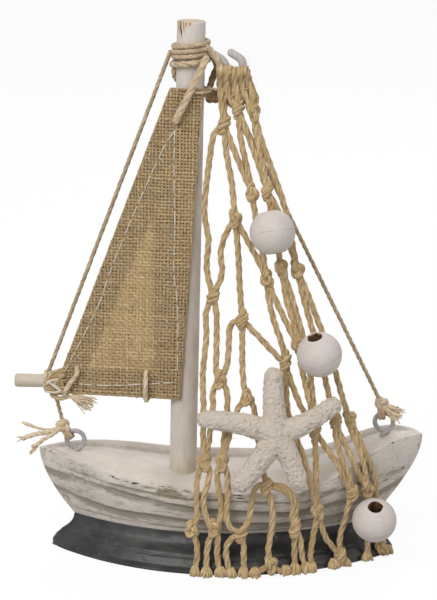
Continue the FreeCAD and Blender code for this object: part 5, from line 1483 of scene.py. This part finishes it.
def hook_line():
    """The hook's wire: a level shank, a bend down, a round part and a straight end that goes
    back over it."""
    bend, drop = HOOK_BEND, HOOK_DROP
    shank_end = mast_x(HOOK_Z) + MAST_RADIUS + HOOK_NECK
    run = HOOK_CENTRE[0] - shank_end
    small = (run * run + drop * drop - bend * bend) / (2 * (bend + drop))
    corner = np.array([shank_end, 0.0, HOOK_Z - small])
    to_round = unit(HOOK_CENTRE - corner)
    start = math.degrees(math.atan2(-to_round[2], -to_round[0])) % 360
    root = mast_x(HOOK_Z) + MAST_RADIUS - 3.8
    level = joined(np.linspace(root, shank_end, 6), 0, HOOK_Z)
    half = math.degrees(math.atan2(to_round[2], to_round[0]))
    small_arc = corner + small * towards(np.linspace(90, half, 6)[1:-1])
    big_arc = on_hook(np.linspace(start, HOOK_ROUND_END - 20, 7), bend)
    return curve(np.concatenate([level, small_arc, big_arc, at_depth(HOOK_OVER, 0.0)]), 0.4)


def stay_knot_place(name):
    """Where a stay's knot is, on the ring of its eye."""
    angle = math.radians(EYES[name][2])
    out = np.array([math.cos(angle), 0, math.sin(angle)])
    on_ring = eye_centre(name) + out * EYE_RADIUS
    around_wire = 0.9 + STAY / 2 + LIE_GAP
    return on_ring, out, on_ring + out * (around_wire + STAY_KNOT / 3)


def build_stay_end(shape, name, seed):
    """The loop through the eye and the knot outside it."""
    on_ring, out, _ = stay_knot_place(name)
    along = np.array([-out[2], 0, out[0]])
    angle = np.linspace(0, 2 * np.pi, 40)[:, None]
    loop = on_ring + 2.2 * (np.cos(angle) * out + np.sin(angle) * np.array([0, 1, 0]))
    rope(shape, loop, 2.1, 9.0, seed, along)
    rope(shape, loop + along * 1.5, 1.9, 9.0, seed + 3, along)


def frayed(shape, start, end, seed, count=9, spread=1.4, thick=0.42):
    """A frayed end: yarns that lie together and fan out towards their tips."""
    draw = np.random.default_rng(seed)
    start, end = np.asarray(start, float), np.asarray(end, float)
    t = np.linspace(0, 1, 12)[:, None]
    for _ in range(count):
        fan = draw.normal(0, 1, 3) * [spread, spread * 0.7, spread]
        bow = draw.normal(0, 0.05, 3) * np.linalg.norm(end - start)
        along = draw.uniform(0.86, 1.04)
        line = (start + (end - start) * t * along + bow * np.sin(np.pi * t)
                + fan * t ** 2.2 + draw.normal(0, 0.35, 3) * (1 - t ** 3))
        tube(shape, line, thick * draw.uniform(0.8, 1.2) * (1 - 0.4 * t[:, 0]), 5,
             tint=draw.uniform(0.3, 1), part=draw.uniform(0, 50))


def build_stays():
    """Backstay to the boom, its end to the stern eye, and the forestay to the bow eye."""
    shape = cord_shape()
    middle_z = MAST_TOP - LASHING_BELOW_TOP - LASHING_HALF
    head = np.array([mast_x(middle_z), 0, middle_z])
    beside = MAST_RADIUS + 0.1 + CORD + STAY / 2 + LIE_GAP
    over = BOOM_TIE + [0, 0, 5.2]
    rope(shape, resampled([head + [-beside + 1.9, -0.6, 1.0], over], 0.7), 2.0, 12.0, 901,
         (0, 1, 0), thick=0.36, off=0.14)
    knot_at = stay_knot_place("stern")[2]
    to_stern = [BOOM_TIE + [2.4, -1.0, -4.6], (BOOM_TIE + knot_at) / 2 + [0.6, 0, 0], knot_at]
    rope(shape, curve(to_stern, 0.7), 1.95, 9.0, 902, (0, 1, 0))
    knot_at = stay_knot_place("bow")[2]
    aside = math.radians(28.0)
    start = head + [(beside - 1.8) * math.cos(aside), (beside - 1.8) * math.sin(aside), 0]
    rope(shape, resampled([start, knot_at], 0.7), 2.0, 10.0, 903, (0, 1, 0))
    for name, seed in (("stern", 910), ("bow", 920)):
        build_stay_end(shape, name, seed)
    return shape


def build_boom_tie():
    """The turns of cord round the boom's outer end."""
    shape = cord_shape()
    turns = turns_round(BOOM_TIE, (1, 0, 0), (0, 1, 0), BOOM_RADIUS + 1.05, 2.3, 2.0, 0.5)
    rope(shape, turns, 2.1, 9.0, 931, (1, 0, 0), thick=0.34, off=0.18)
    return shape


def build_clew():
    """The cloth's corner, drawn together into the boom's tie: yarns of cloth side by side."""
    shape = cord_shape()
    for number, (root, tip) in enumerate(CLEW_FAN):
        start, end = at_depth([root, tip], -6.0)
        frayed(shape, end, start, 66 + number, 9, 0.5, 0.5)
    return shape


def build_ends():
    """The frayed ends of the stays: cords that leave their knots and come apart in yarns."""
    shape = cord_shape()
    for name, seed in (("stern", 912), ("bow", 923)):
        _, out, knot_at = stay_knot_place(name)
        build_knot(shape, knot_at, unit(out + [0, -0.2, 0]), TO_FRONT, seed, 1.35)
    stern, bow = (stay_knot_place(name)[2] for name in ("stern", "bow"))
    hanging = at_depth([(38.5, 443.5)], -6.0)[0]
    for number, (start, pixels, y, thick, count, spread) in enumerate((
        (stern, ((50, 429.5), (38, 428.0), (25, 423.3)), -1.0, 1.35, 3, 0.3),
        (stern, ((50, 431.7), (36, 434.0), (22, 438.5)), -4.0, 2.3, 8, 0.9),
        (stern, ((53, 434.0), (44, 439.0), (36.7, 445)), -6.0, 2.0, 0, 0.0),
        (bow, ((386, 405.5), (392, 406.5), (399, 410)), -1.0, 1.0, 0, 0.0),
    )):
        line = curve(np.concatenate([start[None], at_depth(pixels, y)]), 0.6)
        rope(shape, line, thick, 9.0, 940 + number, thick=0.3)
        if count:
            frayed(shape, line[-7], line[-1] + (line[-1] - line[-7]) * 0.5, 950 + number, count,
                   spread, 0.34)
    for number, (start, pixel, y, count, spread) in enumerate((
        (hanging, (31.5, 447), -6.5, 6, 0.5), (hanging, (31.5, 453.5), -5.5, 7, 0.6),
        (bow, (397, 419), -3.5, 26, 1.5), (bow, (401, 411), -3.0, 20, 1.0),
    )):
        frayed(shape, start, at_depth([pixel], y)[0], 960 + number, count, spread, 0.45)
    return shape


def build_foot_loops():
    """Two loops of cord through the burlap and round the boom, and the after one's brush."""
    shapes = []
    front = CORD_FRONT
    behind = BOOM_RADIUS + STAY / 2 + LIE_GAP
    for number, (reach, slant) in enumerate(((16.6, 0.0), (48.2, 5.8))):
        shape = cord_shape()
        high, low = -reach, -reach - slant
        middle = (high + low) / 2
        back = behind - math.sin(SAIL_SWING) * reach
        route = [(middle, -back, 5.9), (high, -back, 10.6), (high, 0, 13.6),
                 (high, front - 1.4, 12.6), (high, front + 0.2, 10.2),
                 (middle, front + 0.6, 6.0), (low, front, 0.8), (low, front - 2.4, -1.4),
                 (low, 0, -2.0), (low, -back, 0.2), (middle, -back, 5.5)]
        line = curve(sail_point(*np.transpose(route)), 0.6)
        rope(shape, line, 2.35, 12.0, 960 + number, thick=0.3, off=0.2)
        knot_at = sail_point(middle, -back - 0.6, 5.7)
        build_knot(shape, knot_at, unit(sail_axes()[0]), -sail_axes()[1], 970 + number, 0.7)
        shapes.append(shape)
    root = at_depth([(69, 395.5), (62, 398.5), (53, 396)], -5.0)
    rope(shapes[1], curve(np.concatenate([root, root[-1:] + [-1.0, 4.0, 1.0]]), 0.6), 2.2, 11.0,
         975)
    brush = at_depth([(72, 396.5), (94, 402), (90, 409), (84, 404)], -5.5)
    for number, tip in enumerate(brush[1:]):
        frayed(shapes[1], brush[0], tip, 980 + number, 18, 1.2, 0.4)
    return shapes


def build_head_tie():
    """A thin cord from the sail's head round the mast, and the knot that hangs behind it."""
    shape = cord_shape()
    front = CORD_FRONT
    up = SAIL_HEIGHT - STAY + 0.8
    route = [(-1.5, front - 0.9, up - 0.9), (1.5, front - 0.6, up), (6.4, front - 0.6, up + 0.1),
             (8.9, 4.0, up), (9.2, 0.0, up), (8.6, -3.6, up), (5.0, -8.0, up), (0.0, -9.2, up)]
    rope(shape, curve(sail_point(*np.transpose(route)), 0.5), 1.3, 6.0, 981)
    build_knot(shape, sail_point(1.2, -9.4, up), np.array([0, 0, -1.0]), TO_FRONT, 982, 0.8)
    rope(shape, curve(at_depth([(203.5, 90.2), (210, 88.6), (216.5, 89.4)], -3.6), 0.5), 1.3, 6.0,
         985)
    return shape


def build_dark_knot():
    """The brown knot that hangs beside the mast, and its doubled cord up to the hook, in a darker
    cord whose colour is painted shade.
    """
    shape = cord_shape()
    middle = at_depth([(210.4, 94.0)], 0.6)[0]
    for number in (0, 1):
        build_knot(shape, middle + [0.3 * number, 0.5 * number, -0.4 * number],
                   np.array([0.7 - number, 0, -0.7]), TO_FRONT, 982 + number, 1.3)
        fall = at_depth([(217.5 - 1.5 * number, 67.5), (214.0 - 2.2 * number, 77.0),
                         (211.0 - 1.5 * number, 86.0), (210.0, 93.0)], 1.2 + number)
        rope(shape, curve(fall, 0.6), 2.3, 9.0, 986 + number)
    return shape


# Beads and starfish

# Each bead's tilt and roll, in degrees
BEADS = (("bead_upper", -16.0, -11.0), ("bead_middle", 15.0, -14.0), ("bead_lower", 28.0, 1.0))


def box_middle(node):
    """The middle of a node of the solids, in millimetres."""
    low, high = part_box(node)
    return (np.array(low) + np.array(high)) / 2 / MM


def build_bead(name, half, tilt, roll, seed):
    """A bored ball with flat ends: its profile runs down the outside and back up through the
    hole, and a broken seam runs round its middle."""
    centre = box_middle(name)
    bore, flat = BEAD_BORE, BEAD_FLAT
    edge = math.asin(flat / half)
    turn = np.linspace(edge, math.pi - edge, 104)
    outer = joined((half - 0.09) * np.cos(turn), (half - 0.09) * np.sin(turn))
    mouth = outer[0, 0]
    inner = dense([(-mouth, flat - 0.2), (-mouth, bore + 0.4), (-mouth + 0.5, bore),
                   (mouth - 0.5, bore), (mouth, bore + 0.4), (mouth, flat)], 0.6)
    profile = np.concatenate([outer, inner[:-1]])
    profile = np.concatenate([profile, profile[:1]])
    lean, swing = math.radians(tilt), math.radians(roll)
    axis = np.array([math.cos(lean) * math.sin(swing), -math.sin(lean),
                     math.cos(lean) * math.cos(swing)])
    around = 104
    body, _ = revolved(centre, axis, profile, around)
    body = body[:-1]
    count = len(body)
    out = unit(body - centre)
    along = (body - centre) @ axis
    torn = smooth(-0.8, 0.1, noise(body, 3.0, seed + 3))
    seam = np.exp(-((along + 0.35 * noise(body, 7.0, seed + 5)) / 0.2) ** 2) * torn
    body = body + out * (0.06 * noise(body, 6.0, seed) + 0.03 * noise(body, 1.5, seed + 1)
                         - 0.2 * seam * smooth(-0.4, 0.8, noise(body, 0.9, seed + 6)))[..., None]
    inside = np.zeros(count)
    inside[len(outer) + 2:] = 1.0
    chips = noise(body, 1.1, seed + 2)
    from_axis = np.linalg.norm(body - centre - along[..., None] * axis, axis=-1)
    rim = np.exp(-((from_axis - bore) / 0.7) ** 2) * (inside[:, None] + 0.5)
    hole = (from_axis < bore + 0.25) & (inside[:, None] > 0)
    wear = hole * 1.1 + rim * (0.2 + 0.5 * chips)
    soot = hole * (0.15 + 0.6 * chips) + rim * smooth(0.1, 0.6, chips) * 0.45
    stain = 0.55 * seam + 0.08 + 0.1 * noise(body, 5.0, seed + 4)
    quads = grid_quads(count + 1, around, True) % (count * around)
    return wood_shape(body, quads, wear, soot, stain)


STAR_PLACE, STAR_VOXEL = np.array([0.50, 0.85]), 0.00038

# Each arm: its tip in the picture, its bow to a side, and its radius at the root and the tip
STAR_TIPS = (((273.0, 367.0), 0.5, 5.8, 4.3), ((341.0, 402.0), -1.4, 5.6, 4.1),
             ((301.5, 489.0), 0.8, 5.6, 4.3), ((236.0, 491.5), 0.8, 5.8, 4.4),
             ((197.0, 417.5), -1.2, 5.7, 4.2))


def build_star():
    """Five round arms on a round middle; the starfish step joins them by a voxel skin and roughens
    it.
    """
    out = net_normal(STAR_PLACE)
    middle = net_point(STAR_PLACE) + out * (5.5 + CORD / 2 + LIE_GAP)
    shape = Shape("tint")
    ball = np.linspace(0.02, np.pi - 0.02, 24)
    for pixel, bend, root, thick in STAR_TIPS:
        tip = on_plane([pixel], middle, out)[0]
        way = unit(tip - middle)
        side = unit(np.cross(out, way))
        t = np.linspace(0, 1, 34)[:, None]
        end = np.linalg.norm(tip - middle) - thick
        line = middle + way * t * end + side * bend * np.sin(np.pi * t)
        tube(shape, line, (root + (thick - root) * t[:, 0]), 28, out, 0.92)
        cap = line[-1] - way * np.cos(ball)[:, None] * thick
        tube(shape, cap, thick * np.sin(ball), 28, out, 0.92)
    up = unit(np.cross(out, [1.0, 0.0, 0.0]))
    tube(shape, middle - up * np.cos(ball)[:, None] * 6.4, 6.4 * np.sin(ball), 32, out, 0.85)
    return shape


def skinned(thing, size):
    """The points and faces of a voxel skin round an object, in metres."""
    remesh = thing.modifiers.new("Skin", "REMESH")
    remesh.mode = "VOXEL"
    remesh.voxel_size = size
    held = bpy.context.evaluated_depsgraph_get()
    mesh = bpy.data.meshes.new_from_object(thing.evaluated_get(held))
    thing.modifiers.remove(remesh)
    return mesh


# Stage

def aimed(thing, place, way):
    """Puts a lamp or the camera at a place in metres, looking along a way."""
    thing.location = place
    thing.rotation_euler = way.to_track_quat("-Z", "Y").to_euler()


def light(name, place, size, power):
    """A soft square lamp turned to the model's middle."""
    lamp = bpy.data.lights.new(name, "AREA")
    lamp.energy = power
    lamp.size = size
    lamp.color = WARM
    aimed(linked(name, lamp), place, Vector(LAMP_AIM) - Vector(place))


def seen_directly(tree):
    """A socket that is 1 for a ray from the camera, off something shiny or through glass."""
    path = tree.nodes.new("ShaderNodeLightPath")
    total = path.outputs["Is Camera Ray"]
    for name in ("Is Glossy Ray", "Is Transmission Ray"):
        both = tree.nodes.new("ShaderNodeMath")
        both.operation = "MAXIMUM"
        tree.links.new(total, both.inputs[0])
        tree.links.new(path.outputs[name], both.inputs[1])
        total = both.outputs[0]
    return total


WORLD_LIGHT, FLOOR_WHITE, FLOOR_SHADE, FLOOR_GLOW = 0.47, 0.8, 0.5, 1.14
FLOOR_REACH, SENSOR = 6.0, 24
WARM, LAMP_AIM = (1.0, 0.982, 0.955), (0, 0, 0.12)

# Name, place, width and power of each lamp, in metres and watts
LAMPS = (("KeyLamp", (-0.55, -0.9, 1.0), 0.7, 9.5), ("FillLamp", (0.9, -0.8, 0.7), 0.9, 3.0),
         ("BackLamp", (0.2, 0.9, 0.9), 0.9, 3.2))


# Operators

def colour_setting(name, description, *pixel):
    """A colour that a user can change."""
    return bpy.props.FloatVectorProperty(name=name, description=description, subtype="COLOR",
                                         size=4, min=0, max=1, default=tone(*pixel))


def thickness(name, description, size):
    """A small size in metres that a user can change."""
    return bpy.props.FloatProperty(name=name, description=description, default=size,
                                   unit="LENGTH", min=0.0002, max=0.02)


class DinghyLook(bpy.types.PropertyGroup):
    """Sizes and colours of the dinghy that a user would change."""
    hull_paint: colour_setting("Hull paint", "White paint of the hull", 226, 218, 209)
    hull_shade: colour_setting("Hull shade", "Duller paint in the clouds", 205, 197, 189)
    # The wash colour also paints the shade on the hull's side and in the channel inside the rim.
    hull_wash_and_shade: colour_setting("Hull wash", "Grey-brown wash in the hollows", 152, 143, 130)
    spar_paint: colour_setting("Spar paint", "Paint of the mast and boom", 222, 213, 206)
    base_dark: colour_setting("Base, dark", "Darker paint of the base", 27, 28, 28)
    base_light: colour_setting("Base, light", "Lighter paint of the base", 59, 60, 59)
    # The single cloth's yarns are lighter than the hem's: painted light that passes through the
    # single cloth.
    burlap_light: colour_setting("Burlap, light", "Yarns of the single cloth", 232, 200, 146)
    burlap_dark: colour_setting("Burlap, dark", "Yarns of the hem", 194, 167, 124)
    net_light: colour_setting("Net, light", "Lighter strands of the net", 230, 204, 156)
    net_dark: colour_setting("Net, dark", "Darker strands of the net", 202, 172, 122)
    bead_paint: colour_setting("Bead paint", "White paint of the beads", 215, 206, 201)
    star_paint: colour_setting("Starfish", "Chalk of the starfish", 227, 215, 202)
    # The crease colour is partly painted shade in the pits.
    star_crease: colour_setting("Starfish, creases", "Between its grains", 192, 179, 162)
    net_cord: thickness("Net cord", "Thickness of the net's cord", 0.00295)
    sail_stitch: thickness("Stitch length", "Length of the sail's stitches", 0.006)
    hook_wire: thickness("Hook wire", "Thickness of the hook's wire", 0.0036)
    bead_width: thickness("Bead width", "Width of the three beads", 0.02)


class DINGHY_OT_hull(bpy.types.Operator):
    """Builds the carved hull with its deck"""
    bl_idname = "dinghy.hull"
    bl_label = "Hull"

    def execute(self, context):
        look = context.scene.dinghy
        paint = painted_wood("HullPaint", look.hull_paint, look.hull_shade, look.hull_wash_and_shade,
                             tone(166, 155, 134), tone(124, 112, 92))
        build_hull().make("hull_planks", paint, "hull_paint", ["hull"], weld=True)
        return {"FINISHED"}


class DINGHY_OT_base(bpy.types.Operator):
    """Builds the dark base"""
    bl_idname = "dinghy.base"
    bl_label = "Base"

    def execute(self, context):
        paint = slate_paint(context.scene.dinghy)
        build_base().make("base_plinth", paint, "base_paint", ["base"], weld=True)
        return {"FINISHED"}


class DINGHY_OT_spars(bpy.types.Operator):
    """Builds the mast and the boom"""
    bl_idname = "dinghy.spars"
    bl_label = "Mast and boom"

    def execute(self, context):
        paint = painted_wood("SparPaint", context.scene.dinghy.spar_paint, tone(208, 200, 192),
                             tone(196, 184, 162), tone(204, 158, 100), tone(142, 88, 48),
                             (1.3, 1.0, 0.16))
        build_mast().make("mast_dowel", paint, "mast_paint", ["mast"], weld=True)
        build_boom().make("boom_dowel", paint, "boom_paint", ["boom"], weld=True)
        return {"FINISHED"}


class DINGHY_OT_sail(bpy.types.Operator):
    """Weaves the burlap sail and stitches its hem"""
    bl_idname = "dinghy.sail"
    bl_label = "Sail"

    def execute(self, context):
        look = context.scene.dinghy
        burlap = jute("Burlap", look.burlap_light, look.burlap_dark, tone(124, 98, 64))
        thread = yarn("SailThread", 0.6)
        warp, weft, rear, seams = (cord_shape() for _ in range(4))
        weave(warp, FRONT_LAYER, False, 51)
        weave(weft, FRONT_LAYER, True, 52)
        weave(rear, REAR_LAYER, False, 53, 4, 3, sunk=0.25)
        weave(rear, REAR_LAYER, True, 54, 4, 3, sunk=0.25)
        for number, pixels in enumerate(STITCH_LINES):
            stitches(seams, pixels, 60 + number, look.sail_stitch / MM)
        sail_edges(warp)
        for number, pixels in enumerate(CLEW_THREADS):
            tube(seams, curve(at_depth(pixels, -9.3 + 0.3 * number), 0.5), 0.5, 6,
                 tint=0.8, part=number)
        sheet = Shape("hem")
        lining(sheet)
        # The sheet behind the yarns: painted shade in the hem, golden in the panel.
        lining_with_shade = hem_shade_lining(tone(98, 76, 48), tone(208, 176, 118))
        warp = warp.make("sail_warp", burlap, "burlap")
        weft = weft.make("sail_weft", burlap, "burlap")
        rear = rear.make("sail_rear_layer", burlap, "burlap")
        seams = seams.make("sail_stitches", thread, "burlap")
        lining_with_shade = sheet.make("sail_lining_hem_shade", lining_with_shade, "burlap", ["sail"], weld=True)
        return {"FINISHED"}


class DINGHY_OT_net(bpy.types.Operator):
    """Ties the cord net"""
    bl_idname = "dinghy.net"
    bl_label = "Net"

    def execute(self, context):
        look = context.scene.dinghy
        cord = jute("NetCord", look.net_light, look.net_dark, tone(146, 112, 68))
        names = ("net_upper", "net_middle", "net_lower")
        for shape, name in zip(build_net(look.net_cord / MM), names):
            shape.make(name, cord, "net_cord", ["net"])
        return {"FINISHED"}


class DINGHY_OT_ties(bpy.types.Operator):
    """Winds the lashing, the stays, the loops and the ties"""
    bl_idname = "dinghy.ties"
    bl_label = "Lashing and stays"

    def execute(self, context):
        cord, stay, pale = yarn("TieCord"), yarn("StayCord"), yarn("FrayedCord")
        build_lashing().make("lashing_turns", cord, "cord", ["mast_lashing"])
        build_ends().make("stay_ends", pale, "stay_cord")
        build_stays().make("stay_cords", stay, "stay_cord",
                           ["backstay", "backstay_end", "forestay"])
        build_boom_tie().make("boom_tie_turns", pale, "stay_cord", ["boom_tie"])
        build_clew().make("sail_clew", yarn("ClewYarns"), "cord")
        for shape, name in zip(build_foot_loops(), ("foot_loop_fore", "foot_loop_aft")):
            shape.make(name + "_cord", pale, "cord", [name])
        build_head_tie().make("head_tie_cord", cord, "cord", ["head_tie"])
        build_dark_knot().make("head_tie_knot", yarn("TieCordInShade"), "cord")
        route = nurbs_line(TAIL_ROUTE, "tail_route")
        tail = cord_shape()
        lobed_rope(tail, resampled(route / MM, 0.4), 3.2, 15.0, 991, (0, 1, 0))
        hairs = cord_shape()
        fibres(hairs, resampled(route / MM, 0.6), 3.3, 30, 992)
        hairs = hairs.make("lashing_tail_fibres", cord, "cord")
        tail = tail.make("lashing_tail_cord", cord, "cord", ["lashing_tail"])
        return {"FINISHED"}


class DINGHY_OT_metal(bpy.types.Operator):
    """Bends the screw eyes and the hook"""
    bl_idname = "dinghy.metal"
    bl_label = "Screw eyes and hook"

    def execute(self, context):
        eye_paint = wire_paint("EyePaint", 180, 178, 178)
        hook_paint = wire_paint("HookPaint", 202, 195, 194)
        for name in ("stern", "bow"):
            build_eye(name).make(f"{name}_eye_wire", eye_paint, "eye_paint", [f"{name}_eye"])
        shape = cord_shape()
        line = hook_line()
        swell = context.scene.dinghy.hook_wire / MM / 2 + 0.06 * noise(line, 2.0, 71)
        swell[-5:] *= np.sqrt(1 - np.linspace(0, 0.94, 5) ** 2)
        tube(shape, line, swell, 20, (0, 1, 0), tint=0.5)
        shape.make("hook_wire", hook_paint, "hook_paint", ["masthead_hook"])
        return {"FINISHED"}


class DINGHY_OT_beads(bpy.types.Operator):
    """Turns the three wooden beads"""
    bl_idname = "dinghy.beads"
    bl_label = "Beads"

    def execute(self, context):
        look = context.scene.dinghy
        paint = painted_wood("BeadPaint", look.bead_paint, tone(206, 197, 192),
                             tone(184, 173, 165), tone(140, 98, 66), tone(70, 46, 32))
        for number, (name, tilt, roll) in enumerate(BEADS):
            bead = build_bead(name, look.bead_width / 2 / MM, tilt, roll, 80 + number)
            bead.make(name + "_ball", paint, "bead_paint", [name], weld=True)
        return {"FINISHED"}


class DINGHY_OT_starfish(bpy.types.Operator):
    """Models the starfish"""
    bl_idname = "dinghy.starfish"
    bl_label = "Starfish"

    def execute(self, context):
        chalk = chalk_paint(context.scene.dinghy)
        rough_in = build_star().make("star_rough", chalk, "star")
        mesh = skinned(rough_in, STAR_VOXEL)
        bpy.data.objects.remove(rough_in)
        points, normals = held_by(mesh, "co") / MM, held_by(mesh, "normal")
        grains = noise(points, 1.15, 91) + 0.8 * noise(points, 0.85, 92)
        points = points + normals * (0.34 * grains - 0.14)[:, None]
        mesh.vertices.foreach_set("co", (points * MM).ravel())
        # The tint follows the grains' height: paler on them and duller in the pits, partly painted
        # shade.
        tint = mesh.attributes.new("tint", "FLOAT", "POINT")
        tint.data.foreach_set("value", smooth(-1.0, 0.2, grains).astype(np.float32))
        mesh.polygons.foreach_set("use_smooth", np.full(len(mesh.polygons), True))
        mesh.materials.clear()
        mesh.update()
        placed("starfish_chalk", mesh, chalk, ["starfish"])
        return {"FINISHED"}


class DINGHY_OT_stage(bpy.types.Operator):
    """Sets the floor, the lamps and the camera"""
    bl_idname = "dinghy.stage"
    bl_label = "Stage"

    def execute(self, context):
        scene = bpy.context.scene
        camera = linked("Camera", bpy.data.cameras.new("Camera"))
        aimed(camera, CAMERA_PLACE * MM, Vector((CAMERA_AIM - CAMERA_PLACE) * MM))
        camera.data.sensor_fit = "VERTICAL"
        camera.data.sensor_height = SENSOR
        camera.data.lens = SENSOR * LENS_PIXELS / FRAME_SIZE[1]
        camera.data.clip_start = 0.01
        scene.camera = camera
        scene.view_settings.view_transform = "Standard"
        world = bpy.data.worlds.new("Studio")
        scene.world = world
        world.use_nodes = True
        sky = world.node_tree
        ground = sky.nodes["Background"]
        ground.inputs[0].default_value = (1, 1, 1, 1)
        seen = seen_directly(sky)
        strength = sky.nodes.new("ShaderNodeMix")
        strength.inputs[2].default_value = WORLD_LIGHT
        strength.inputs[3].default_value = 1.0
        sky.links.new(seen, strength.inputs[0])
        sky.links.new(strength.outputs[0], ground.inputs[1])
        for name, place, size, power in LAMPS:
            light(name, place, size, power)
        floor = bpy.data.meshes.new("floor")
        signs = ((-1, -1), (1, -1), (1, 1), (-1, 1))
        floor.from_pydata([(x * FLOOR_REACH, y * FLOOR_REACH, 0) for x, y in signs], [],
                          [(0, 1, 2, 3)])
        card = linked("floor", floor)
        finish = Finish("FloorCard", Roughness=0.9, Specular_IOR_Level=0.1)
        finish.shader.inputs["Base Color"].default_value = (*[FLOOR_SHADE] * 3, 1)
        glow = finish.add("ShaderNodeEmission", {"Color": (1, 1, 1, 1), "Strength": FLOOR_GLOW})
        share = finish.maths("MULTIPLY", seen_directly(finish.tree), FLOOR_WHITE)
        both = finish.add("ShaderNodeMixShader", {0: share, 1: finish.shader.outputs[0],
                                                  2: glow.outputs[0]})
        finish.tree.links.new(both.outputs[0], finish.tree.nodes["Material Output"].inputs[0])
        floor.materials.append(finish.material)
        return {"FINISHED"}


class DINGHY_PT_panel(bpy.types.Panel):
    """Lists the pieces of the dinghy"""
    bl_label = "Model sailing dinghy"
    bl_idname = "DINGHY_PT_panel"
    bl_space_type = "VIEW_3D"
    bl_region_type = "UI"
    bl_category = "Dinghy"

    def draw(self, context):
        for name in STEPS:
            self.layout.operator(f"dinghy.{name}")


STEPS = ("stage", "base", "hull", "spars", "sail", "net", "ties", "metal", "beads", "starfish")
CLASSES = (DinghyLook, DINGHY_OT_stage, DINGHY_OT_base, DINGHY_OT_hull, DINGHY_OT_spars,
           DINGHY_OT_sail, DINGHY_OT_net, DINGHY_OT_ties, DINGHY_OT_metal, DINGHY_OT_beads,
           DINGHY_OT_starfish, DINGHY_PT_panel)


def register():
    """Adds the settings, the operators and the panel."""
    for kind in CLASSES:
        bpy.utils.register_class(kind)
    bpy.types.Scene.dinghy = bpy.props.PointerProperty(type=DinghyLook)


def unregister():
    """Takes them away again."""
    del bpy.types.Scene.dinghy
    for kind in reversed(CLASSES):
        bpy.utils.unregister_class(kind)


def main():
    """Builds every piece and the stage."""
    register()
    for name in STEPS:
        getattr(bpy.ops.dinghy, name)()


if __name__ == "__main__":
    main()
